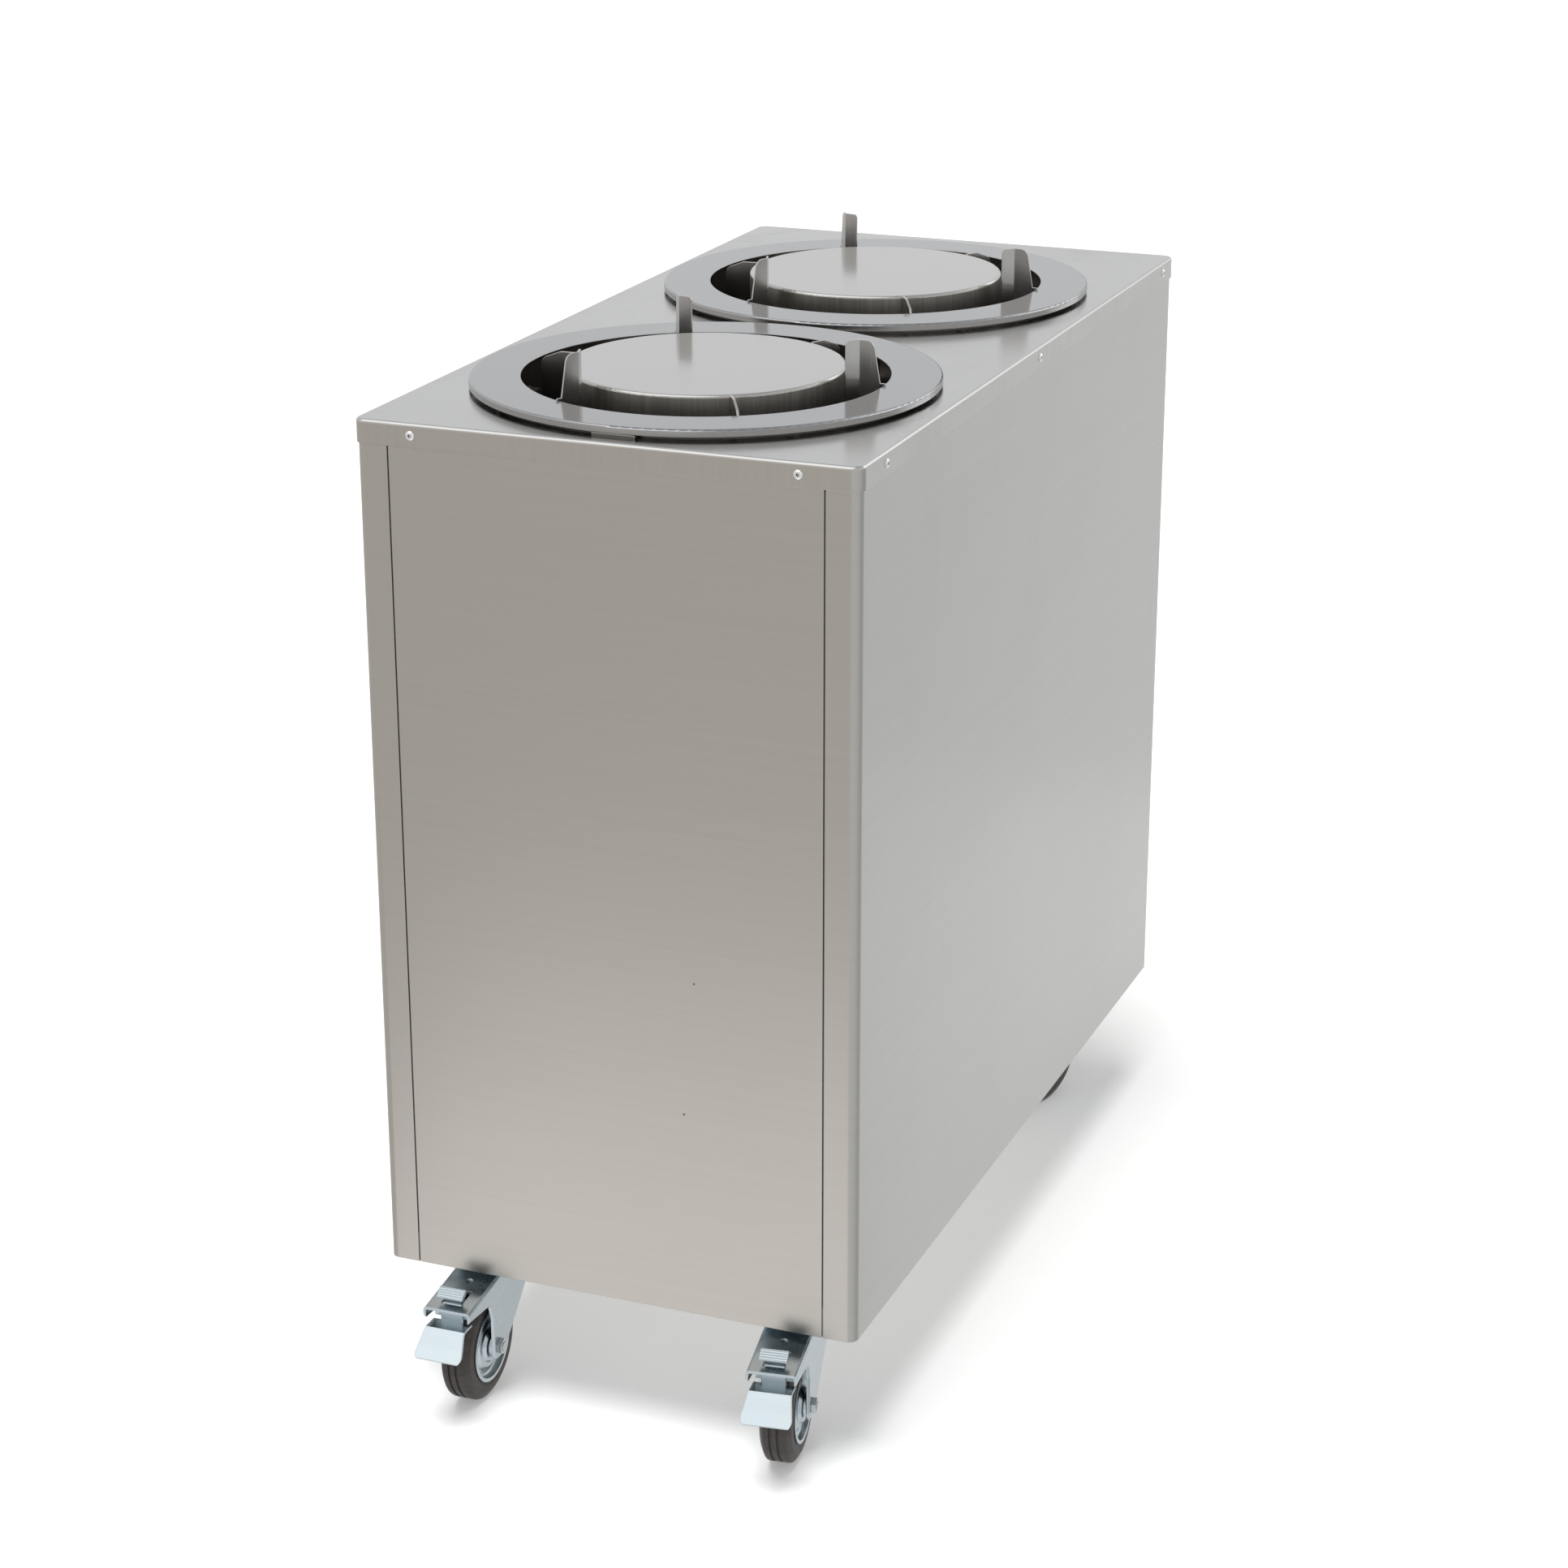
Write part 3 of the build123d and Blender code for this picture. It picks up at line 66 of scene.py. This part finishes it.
# Studio floor: what the camera sees is white paper, and the metal sees it in tones.
# Each tone belongs to the stretch of floor that one face of the cabinet reflects from this
# camera's place, so the tones are set for this view and light the other views less closely.
FLOOR_REACH = 30
FLOOR_ROUGHNESS = 0.5
FLOOR_PAPER = 0.62
FLOOR_WHITE = 1.0
FLOOR_LIFT = 0.25
TONE_LIFT = 0.68
TONE_SHARE = 0.5
FRONT_FALL = (-0.8, -1.9)
FRONT_FAR = (0.62, 0.61, 0.585, 1)
LEFT_TONE = (0.6, 0.59, 0.57, 1)
LEFT_SPREAD = 0.15
CORNER = (0.215, -0.415)
VIEW_WAY = (0.366, 0.93)
HORIZON_AT = 1.414
HORIZON_DROP = 0.9
HORIZON_SOFTNESS = 0.02
RIGHT_TONES = ((0.25, 0.72), (0.42, 0.68), (0.56, 0.5), (0.655, 0.52), (0.69, 0.86))
RIGHT_TINT = (0.97, 1.01, 1.04, 1)
RIGHT_FROM = -0.02
RIGHT_TO = 0.05

SKY_LOW = 0.88
SKY_HIGH = 0.55
SKY_FILL = 0.32
SKY_LEVELS = (0.5, 0.95)
KEY_FROM = (-0.03, -0.24, 1.0)
KEY_POWER = 2.3
KEY_SPREAD = 32.0

# Soft boxes that only the metal sees: way to each, how wide it is, how much it adds
SOFT_BOXES = (((-0.25, -0.4, 0.88), 0.78, 0.93, 1.1), ((0.5, 0.8, 0.33), 0.93, 0.985, 1.1))


# ---- Node trees --------------------------------------------------------------------


class Tree:
    """A node tree, with short calls for the nodes that the materials share."""

    def __init__(self, owner):
        owner.use_nodes = True
        self.nodes = owner.node_tree.nodes
        self.links = owner.node_tree.links
        self.nodes.clear()

    def add(self, kind, inputs=None, **settings):
        node = self.nodes.new("ShaderNode" + kind)
        for name, value in settings.items():
            setattr(node, name, value)
        for name, value in (inputs or {}).items():
            self.put(node.inputs[name], value)
        return node

    def put(self, socket, value):
        if isinstance(value, bpy.types.NodeSocket):
            self.links.new(value, socket)
        else:
            socket.default_value = value

    def math(self, operation, a, b=0.0):
        return self.add("Math", {0: a, 1: b}, operation=operation).outputs[0]

    def vector(self, operation, a, b=(0, 0, 0)):
        return self.add("VectorMath", {0: a, 1: b}, operation=operation).outputs[0]

    def span(self, value, low, high, to_low, to_high, smooth=False):
        """Maps value from low..high to to_low..to_high, clamped."""
        sockets = {"Value": value, "From Min": low, "From Max": high, "To Min": to_low, "To Max": to_high}
        kind = "SMOOTHSTEP" if smooth else "LINEAR"
        return self.add("MapRange", sockets, interpolation_type=kind).outputs["Result"]

    def mix(self, factor, a, b, blend="MIX"):
        """Mixes two colours."""
        node = self.add("Mix", data_type="RGBA", blend_type=blend)
        self.put(node.inputs[0], factor)
        self.put(node.inputs[6], a)
        self.put(node.inputs[7], b)
        return node.outputs[2]

    def place(self):
        """The point's place in its own object, in metres."""
        return self.add("TexCoord").outputs["Object"]

    def stretch(self, point, scale):
        return self.vector("MULTIPLY", point, scale)

    def noise(self, point, scale=1.0, detail=2.0, roughness=0.5, distortion=0.0):
        sockets = {
            "Vector": point, "Scale": scale, "Detail": detail, "Roughness": roughness,
            "Distortion": distortion,
        }
        return self.add("TexNoise", sockets).outputs[0]

    def bump(self, height, strength, distance, normal=None):
        sockets = {"Height": height, "Strength": strength, "Distance": distance}
        if normal is not None:
            sockets["Normal"] = normal
        return self.add("Bump", sockets).outputs["Normal"]


def opaque(colour):
    return (*colour, 1.0)


def shaded(colour, share):
    return tuple(min(1.0, c * share) for c in colour)


# ---- Metals ------------------------------------------------------------------------


def grain_point(tree, grain):
    """A stretched place, so that noise in it runs in lines the way the sheet was brushed."""
    point = tree.place()
    fine = 900.0
    along = 6.0
    if grain == "level":
        return tree.stretch(point, (along, along, fine))
    if grain == "upright":
        return tree.stretch(point, (fine, fine, along))
    if grain == "lengthwise":
        normal = tree.add("NewGeometry").outputs["Normal"]
        across = tree.math("ABSOLUTE", tree.add("SeparateXYZ", {0: normal}).outputs["Z"])
        flat = tree.math("GREATER_THAN", across, 0.7)
        node = tree.add("Mix", data_type="VECTOR")
        tree.put(node.inputs[0], flat)
        tree.put(node.inputs[4], tree.stretch(point, (along, along, fine)))
        tree.put(node.inputs[5], tree.stretch(point, (fine, along, along)))
        return node.outputs[1]
    return tree.stretch(point, (fine * 0.5, fine * 0.5, fine * 0.5))


def paint_hollow_shade(tree, base, depth):
    """Painted shade: turns a colour dark in hollows and gaps of about the given depth, where shade falls.
    """
    open_share = tree.add("AmbientOcclusion", {"Distance": depth}, samples=8).outputs["AO"]
    shade_mask = tree.span(open_share, 0.35, 0.75, 1.0, 0.0)
    return tree.mix(shade_mask, base, (0.01, 0.01, 0.01, 1))


def steel(
    name, colour, roughness, grain, depth=1.0, wear=1.0, edge=0.0005,
    spots=(), wall=None, below=None, crevice=0.0,
):
    """Brushed sheet steel: grain lines, faint streaks, wipe marks, rub marks and specks.

    wall is the (colour, roughness, streak depth) of upright faces, where they differ. below is the
    (height, colour) under which the sheet is painted brighter: painted light on its shaded underside.
    crevice is the depth at which gaps turn dark with painted shade.
    """
    material = bpy.data.materials.new(name)
    tree = Tree(material)
    lines = grain_point(tree, grain)
    fine = tree.noise(lines, 1.0, 3.0, 0.6)
    streak = tree.noise(tree.stretch(lines, (0.3, 0.3, 0.3)), 1.0, 2.0, 0.5)
    point = tree.place()
    cloud = tree.noise(point, 4.5, 4.0, 0.55, 0.6)
    smear = tree.noise(tree.stretch(point, (9, 9, 3)), 1.6, 5.0, 0.65, 1.2)
    rub = tree.span(smear, 0.56, 0.72, 0.0, 1.0)

    tone = tree.span(streak, 0.3, 0.7, 0.0, 1.0)
    low_tone = opaque(shaded(colour, 1 - 0.018 * depth))
    high_tone = opaque(shaded(colour, 1 + 0.018 * depth))
    base = tree.mix(tone, low_tone, high_tone)
    upright = None
    if wall is not None:
        facing = tree.add("NewGeometry").outputs["Normal"]
        level = tree.math("ABSOLUTE", tree.add("SeparateXYZ", {0: facing}).outputs["Z"])
        upright = tree.span(level, 0.3, 0.7, 1.0, 0.0)
        drawn = tree.noise(tree.stretch(point, (240, 240, 9)), 1.0, 3.0, 0.6)
        streaks = tree.span(drawn, 0.3, 0.7, 0.0, 1.0)
        dark_wall = opaque(shaded(wall[0], 1 - wall[2]))
        pale_wall = opaque(shaded(wall[0], 1 + wall[2]))
        base = tree.mix(upright, base, tree.mix(streaks, dark_wall, pale_wall))
    # Painted light: under the given height the sheet is painted brighter, in place of light on its
    # underside.
    if below is not None:
        lift = tree.add("SeparateXYZ", {0: point}).outputs["Z"]
        base = tree.mix(tree.math("LESS_THAN", lift, below[0]), base, opaque(below[1]))
    dull = tree.span(cloud, 0.35, 0.7, 0.0, 0.06 * wear)
    base = tree.mix(dull, base, opaque(shaded(colour, 0.8)))
    # Painted shade: gaps turn dark to the crevice depth.
    if crevice:
        base = paint_hollow_shade(tree, base, crevice)
    for place, radius in spots:
        away = tree.add("VectorMath", {0: point, 1: place}, operation="DISTANCE").outputs["Value"]
        dark = tree.span(away, radius * 0.5, radius, 0.85, 0.0)
        base = tree.mix(dark, base, (0.03, 0.025, 0.02, 1))

    rough = tree.span(fine, 0.2, 0.8, roughness - 0.02 * depth, roughness + 0.02 * depth)
    if upright is not None:
        rough = tree.math("ADD", rough, tree.math("MULTIPLY", upright, wall[1] - roughness))
    rough = tree.math("ADD", rough, tree.span(cloud, 0.3, 0.75, -0.01 * wear, 0.018 * wear))
    rough = tree.math("ADD", rough, tree.math("MULTIPLY", rub, 0.025 * wear))

    soft = tree.add("Bevel", {"Radius": edge}, samples=4).outputs[0]
    ripple = tree.noise(point, 3.2, 1.0, 0.4)
    normal = tree.bump(ripple, 0.3, 0.0003, soft)
    normal = tree.bump(fine, 0.03 * depth, 0.0002, normal)
    sockets = {"Base Color": base, "Metallic": 1.0, "Roughness": rough, "Normal": normal}
    shader = tree.add("BsdfPrincipled", sockets)
    output = tree.add("OutputMaterial")
    tree.put(output.inputs["Surface"], shader.outputs[0])
    return material


def zinc(name, colour, roughness=0.3, edge=0.0005, crevice=0.0):
    """Bright zinc plate: cool blue passivate, faintly cloudy, with dull spots.

    crevice is the depth at which hollows turn dark with painted shade.
    """
    material = bpy.data.materials.new(name)
    tree = Tree(material)
    point = tree.place()
    cloud = tree.noise(point, 40.0, 3.0, 0.5, 0.5)
    grit = tree.noise(point, 900.0, 2.0, 0.6)
    film = tree.noise(point, 22.0, 2.0, 0.5, 0.4)
    cool = opaque(shaded(colour, 0.97))
    pale = opaque(shaded(colour, 1.03))
    base = tree.mix(tree.span(cloud, 0.35, 0.65, 0.0, 1.0), cool, pale)
    straw = opaque((colour[0] * 1.04, colour[1], colour[2] * 0.92))
    base = tree.mix(tree.span(film, 0.55, 0.75, 0.0, 0.45), base, straw)
    # Painted shade: hollows turn dark to the crevice depth.
    if crevice:
        base = paint_hollow_shade(tree, base, crevice)
    sheen = tree.span(cloud, 0.3, 0.7, roughness - 0.03, roughness + 0.03)
    rough = tree.math("ADD", sheen, tree.span(grit, 0.2, 0.8, -0.015, 0.015))
    soft = tree.add("Bevel", {"Radius": edge}, samples=4).outputs[0]
    normal = tree.bump(grit, 0.05, 0.0001, soft)
    sockets = {"Base Color": base, "Metallic": 1.0, "Roughness": rough, "Normal": normal}
    shader = tree.add("BsdfPrincipled", sockets)
    output = tree.add("OutputMaterial")
    tree.put(output.inputs["Surface"], shader.outputs[0])
    return material


# ---- Rubber, plastics and insulation -----------------------------------------------


def moulded(name, colour, roughness, texture=1.0, dust=0.0, dust_colour=(0.3, 0.28, 0.26)):
    """Moulded rubber or plastic: fine skin texture, uneven sheen and dust in patches."""
    material = bpy.data.materials.new(name)
    tree = Tree(material)
    point = tree.place()
    skin = tree.noise(point, 1400.0, 3.0, 0.6)
    cloud = tree.noise(point, 60.0, 4.0, 0.6, 0.5)
    patch = tree.noise(point, 28.0, 5.0, 0.7, 0.9)
    dark = opaque(shaded(colour, 0.85))
    pale = opaque(shaded(colour, 1.2))
    base = tree.mix(tree.span(cloud, 0.3, 0.7, 0.0, 1.0), dark, pale)
    if dust:
        base = tree.mix(tree.span(patch, 0.45, 0.75, 0.0, dust), base, opaque(dust_colour))
    sheen = tree.span(cloud, 0.3, 0.7, roughness - 0.06, roughness + 0.06)
    rough = tree.math("ADD", sheen, tree.span(skin, 0.2, 0.8, -0.03, 0.03))
    normal = tree.bump(skin, 0.22 * texture, 0.0002)
    shader = tree.add("BsdfPrincipled", {"Base Color": base, "Roughness": rough, "Normal": normal})
    output = tree.add("OutputMaterial")
    tree.put(output.inputs["Surface"], shader.outputs[0])
    return material


# ---- CAD nodes and their finishes --------------------------------------------------

SHEET_TONE = (0.50, 0.475, 0.44)
SPECKS = (((0.074, -0.4149, 0.428), 0.0011), ((0.064, -0.4149, 0.310), 0.0013))

MATERIALS = {
    "cabinet_sheet": steel("cabinet_sheet", SHEET_TONE, 0.3, "level", 0.7, 0.6, spots=SPECKS),
    "cap_sheet": steel(
        "cap_sheet", (0.50, 0.505, 0.505), 0.2, "lengthwise", 0.7, 2.2, 0.0008,
        wall=(SHEET_TONE, 0.27, 0.02),
    ),
    "collar_steel": steel(
        "collar_steel", (0.33, 0.34, 0.355), 0.11, "plain", 0.25, 1.6,
        wall=((0.42, 0.41, 0.4), 0.22, 0.03),
    ),
    "dish_steel": steel(
        "dish_steel", (0.49, 0.495, 0.49), 0.14, "plain", 0.25, 1.6,
        wall=((0.4, 0.38, 0.35), 0.36, 0.16),
    ),
    # Inner steel: painted light on the base pan below 0.155 m, and painted shade in its gaps.
    "inner_steel": steel(
        "inner_steel", (0.34, 0.32, 0.29), 0.35, "upright", 1.5,
        below=(0.155, (0.72, 0.71, 0.69)), crevice=0.004,
    ),
    "guide_steel": steel("guide_steel", (0.54, 0.52, 0.5), 0.24, "upright", 1.3, 1.4),
    "spring_steel": zinc("spring_steel", (0.5, 0.5, 0.5), 0.3),
    "zinc_steel": zinc("zinc_steel", (0.44, 0.495, 0.525), 0.27),
    # Fasteners: painted shade in their hollows.
    "fastener_steel": zinc("fastener_steel", (0.5, 0.52, 0.53), 0.28, crevice=0.001),
    # Rivets: painted shade inside the hole.
    "rivet_aluminium": zinc("rivet_aluminium", (0.85, 0.85, 0.85), 0.25, 0.0002, 0.002),
    "heater_sheath": steel("heater_sheath", (0.2, 0.17, 0.15), 0.4, "plain", 1.5),
    "tyre_rubber": moulded("tyre_rubber", (0.055, 0.047, 0.044), 0.6, 1.2, 0.2),
    "black_plastic": moulded("black_plastic", (0.025, 0.025, 0.027), 0.42, 1.0),
    "rocker_plastic": moulded("rocker_plastic", (0.02, 0.2, 0.05), 0.22, 0.3),
    "grey_plastic": moulded("grey_plastic", (0.42, 0.42, 0.4), 0.5),
    "lead_insulation": moulded("lead_insulation", (0.4, 0.12, 0.07), 0.5),
}


def dress_node(item, slot):
    """Gives a CAD node its finish. The material softens its edges."""
    item.data.materials.clear()
    item.data.materials.append(MATERIALS[slot])


def dress_nodes():
    for part in frame["record"]["subparts"]:
        dress_node(frame["nodes"][part["node"]], part["material_slot"])


# ---- Lift springs ------------------------------------------------------------------


def tube_along(mesh, points, radius, sides):
    """Adds a closed round tube along a list of points to a bmesh."""
    rings = []
    across = Vector((0, 0, 1))
    turns = [2 * math.pi * k / sides for k in range(sides)]
    for n, point in enumerate(points):
        before = points[max(n - 1, 0)]
        after = points[min(n + 1, len(points) - 1)]
        way = (after - before).normalized()
        side = across - way * across.dot(way)
        if side.length < 1e-6:
            side = way.orthogonal()
        across = side.normalized()
        other = way.cross(across)
        edge = [point + radius * (across * math.cos(t) + other * math.sin(t)) for t in turns]
        rings.append([mesh.verts.new(place) for place in edge])
    for low, high in zip(rings, rings[1:]):
        for k in range(sides):
            mesh.faces.new((low[k], low[(k + 1) % sides], high[(k + 1) % sides], high[k]))
    mesh.faces.new(list(reversed(rings[0])))
    mesh.faces.new(rings[-1])


def hook_points(centre, end, past, reach):
    """A straight end through its hole and a short turn over the sheet behind it."""
    up = 1 if past > end else -1
    return [
        centre + Vector((0, 0, end)),
        centre + Vector((0, 0, past - up * reach * 0.35)),
        centre + Vector((reach * 0.35, 0, past)),
        centre + Vector((reach, 0, past)),
    ]


def spring_points(centre, bottom, top):
    """The wire's centre line: lower hook, close-wound coils, upper hook."""
    radius = SPRING_RADIUS - SPRING_WIRE
    low = bottom + 2 * SPRING_WIRE
    high = top - 2 * SPRING_WIRE
    turns = int((high - low) / SPRING_PITCH)
    count = turns * SPRING_STEPS
    coil = []
    for n in range(count + 1):
        turn = 2 * math.pi * n / SPRING_STEPS
        height = low + (high - low) * n / count
        place = Vector((radius * math.cos(turn), radius * math.sin(turn), height))
        coil.append(centre + place)
    below = hook_points(centre, bottom, bottom - HOOK_PAST, HOOK_REACH)
    above = hook_points(centre, top, top + HOOK_PAST, HOOK_REACH)
    return list(reversed(below)) + coil + above


def make_springs(unit):
    """Six extension springs with their hooks, in place of the plain sleeves."""
    sleeves = unit + "_lift_springs"
    low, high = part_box(sleeves)
    dish_low, dish_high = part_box(unit + "_platform_dish")
    middle = (dish_low.y + dish_high.y) / 2
    shape = bmesh.new()
    for angle in SPRING_ANGLES:
        a = math.radians(angle)
        out = Vector((math.cos(a), math.sin(a), 0)) * SPRING_ORBIT
        side = Vector((-math.sin(a), math.cos(a), 0))
        for offset in (-SPRING_OFFSET, SPRING_OFFSET):
            centre = Vector((0, middle, 0)) + out + side * offset
            tube_along(shape, spring_points(centre, low.z, high.z), SPRING_WIRE, WIRE_SIDES)
    mesh = bpy.data.meshes.new(unit + "_spring_coils")
    shape.to_mesh(mesh)
    shape.free()
    mesh.polygons.foreach_set("use_smooth", [True] * len(mesh.polygons))
    mesh.materials.append(MATERIALS["spring_steel"])
    coils = bpy.data.objects.new(unit + "_spring_coils", mesh)
    bpy.context.scene.collection.objects.link(coils)
    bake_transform(coils)
    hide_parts(sleeves)


# ---- Camera, floor and light -------------------------------------------------------


def make_camera():
    data = bpy.data.cameras.new("camera")
    data.lens = CAMERA_LENS
    data.sensor_width = SENSOR_WIDTH
    camera = bpy.data.objects.new("camera", data)
    camera.location = CAMERA_PLACE
    camera.rotation_euler = [math.radians(turn) for turn in CAMERA_TURN]
    bpy.context.scene.collection.objects.link(camera)
    bpy.context.scene.camera = camera


def floor_tone(tree):
    """The brightness of the floor as the metal sees it, by the place on the floor."""
    place = tree.add("SeparateXYZ", {0: tree.place()}).outputs
    x, y = place["X"], place["Y"]
    fall = tree.span(y, FRONT_FALL[1], FRONT_FALL[0], 1.0, 0.0, True)
    tone = tree.mix(fall, (1, 1, 1, 1), FRONT_FAR)

    from_x = tree.math("ADD", tree.math("ABSOLUTE", x), -CORNER[0])
    from_y = tree.math("SUBTRACT", y, CORNER[1])
    past_left = tree.math("MULTIPLY", from_x, VIEW_WAY[1])
    past_left = tree.math("ADD", past_left, tree.math("MULTIPLY", from_y, VIEW_WAY[0]))
    left_half = tree.math("LESS_THAN", x, 0.0)
    on_left = tree.math("MULTIPLY", left_half, tree.span(past_left, 0.0, LEFT_SPREAD, 0.0, 1.0))
    tone = tree.mix(on_left, tone, LEFT_TONE)

    turn = tree.math("ARCTAN2", from_y, from_x)
    ramp = tree.add("ValToRGB", {"Fac": tree.span(turn, -math.pi, math.pi, 0.0, 1.0)})
    stops = ramp.color_ramp.elements
    for n, (position, level) in enumerate(RIGHT_TONES):
        stop = stops[n] if n < 2 else stops.new(position)
        stop.position = position
        stop.color = (level, level, level, 1)
    right = tree.mix(1.0, ramp.outputs["Color"], RIGHT_TINT, "MULTIPLY")
    ahead = tree.math("MULTIPLY", x, VIEW_WAY[0])
    ahead = tree.math("ADD", ahead, tree.math("MULTIPLY", y, VIEW_WAY[1]))
    near = HORIZON_AT - HORIZON_SOFTNESS
    far = HORIZON_AT + HORIZON_SOFTNESS
    past = tree.span(ahead, near, far, 1.0, HORIZON_DROP)
    shade = tree.add("CombineXYZ", {0: past, 1: past, 2: past}).outputs[0]
    right = tree.mix(1.0, right, shade, "MULTIPLY")
    on_right = tree.span(x, CORNER[0] + RIGHT_FROM, CORNER[0] + RIGHT_TO, 0.0, 1.0)
    return tree.mix(on_right, tone, right)


def make_floor():
    """White paper for the camera, and the same floor in soft tones for the metal."""
    mesh = bpy.data.meshes.new("floor")
    shape = bmesh.new()
    bmesh.ops.create_grid(shape, x_segments=2, y_segments=2, size=FLOOR_REACH)
    shape.to_mesh(mesh)
    shape.free()
    floor = bpy.data.objects.new("floor", mesh)
    bpy.context.scene.collection.objects.link(floor)
    material = bpy.data.materials.new("floor_paper")
    tree = Tree(material)
    path = tree.add("LightPath").outputs
    seen = path["Is Camera Ray"]
    mirrored = tree.math("MAXIMUM", path["Is Glossy Ray"], path["Is Transmission Ray"])
    tone = floor_tone(tree)
    grey = (FLOOR_PAPER, FLOOR_PAPER, FLOOR_PAPER, 1)
    share = (TONE_SHARE, TONE_SHARE, TONE_SHARE, 1)
    paper_colour = tree.mix(mirrored, grey, tree.mix(1.0, tone, share, "MULTIPLY"))
    paper_colour = tree.mix(seen, paper_colour, (FLOOR_WHITE, FLOOR_WHITE, FLOOR_WHITE, 1))
    paper = tree.add("BsdfDiffuse", {"Color": paper_colour, "Roughness": FLOOR_ROUGHNESS})
    glow = tree.math("MULTIPLY", seen, FLOOR_LIFT)
    glow = tree.math("MAXIMUM", glow, tree.math("MULTIPLY", mirrored, TONE_LIFT))
    lift_colour = tree.mix(seen, tone, (1, 1, 1, 1))
    lift = tree.add("Emission", {"Color": lift_colour, "Strength": glow})
    both = tree.add("AddShader", {0: paper.outputs[0], 1: lift.outputs[0]})
    output = tree.add("OutputMaterial")
    tree.put(output.inputs["Surface"], both.outputs[0])
    mesh.materials.append(material)


def make_world():
    """White for the camera, a soft dome with two boxes for the metal, and an even fill."""
    world = bpy.data.worlds.new("studio")
    bpy.context.scene.world = world
    tree = Tree(world)
    way = tree.add("TexCoord").outputs["Generated"]
    height = tree.add("SeparateXYZ", {0: way}).outputs["Z"]
    level = tree.span(height, *SKY_LEVELS, SKY_LOW, SKY_HIGH, True)
    for box_way, rim, core, gain in SOFT_BOXES:
        aim = tuple(Vector(box_way).normalized())
        facing = tree.add("VectorMath", {0: way, 1: aim}, operation="DOT_PRODUCT").outputs["Value"]
        level = tree.math("ADD", level, tree.span(facing, rim, core, 0.0, gain, True))
    path = tree.add("LightPath").outputs
    mirrored = tree.math("MAXIMUM", path["Is Glossy Ray"], path["Is Transmission Ray"])
    strength = tree.math("MAXIMUM", tree.math("MULTIPLY", mirrored, level), SKY_FILL)
    strength = tree.math("MAXIMUM", strength, path["Is Camera Ray"])
    back = tree.add("Background", {"Color": (1, 1, 1, 1), "Strength": strength})
    output = tree.add("OutputWorld")
    tree.put(output.inputs["Surface"], back.outputs[0])


def make_key():
    """One broad soft light from above. The metal sees the soft boxes in its place."""
    data = bpy.data.lights.new("key_light", "SUN")
    data.energy = KEY_POWER
    data.angle = math.radians(KEY_SPREAD)
    lamp = bpy.data.objects.new("key_light", data)
    lamp.rotation_euler = Vector(KEY_FROM).to_track_quat("Z", "Y").to_euler()
    lamp.visible_glossy = False
    bpy.context.scene.collection.objects.link(lamp)


# ---- Assembly ----------------------------------------------------------------------

make_camera()
make_floor()
make_world()
make_key()
dress_nodes()
for unit in UNITS:
    make_springs(unit)

bpy.context.scene.view_settings.view_transform = "Standard"
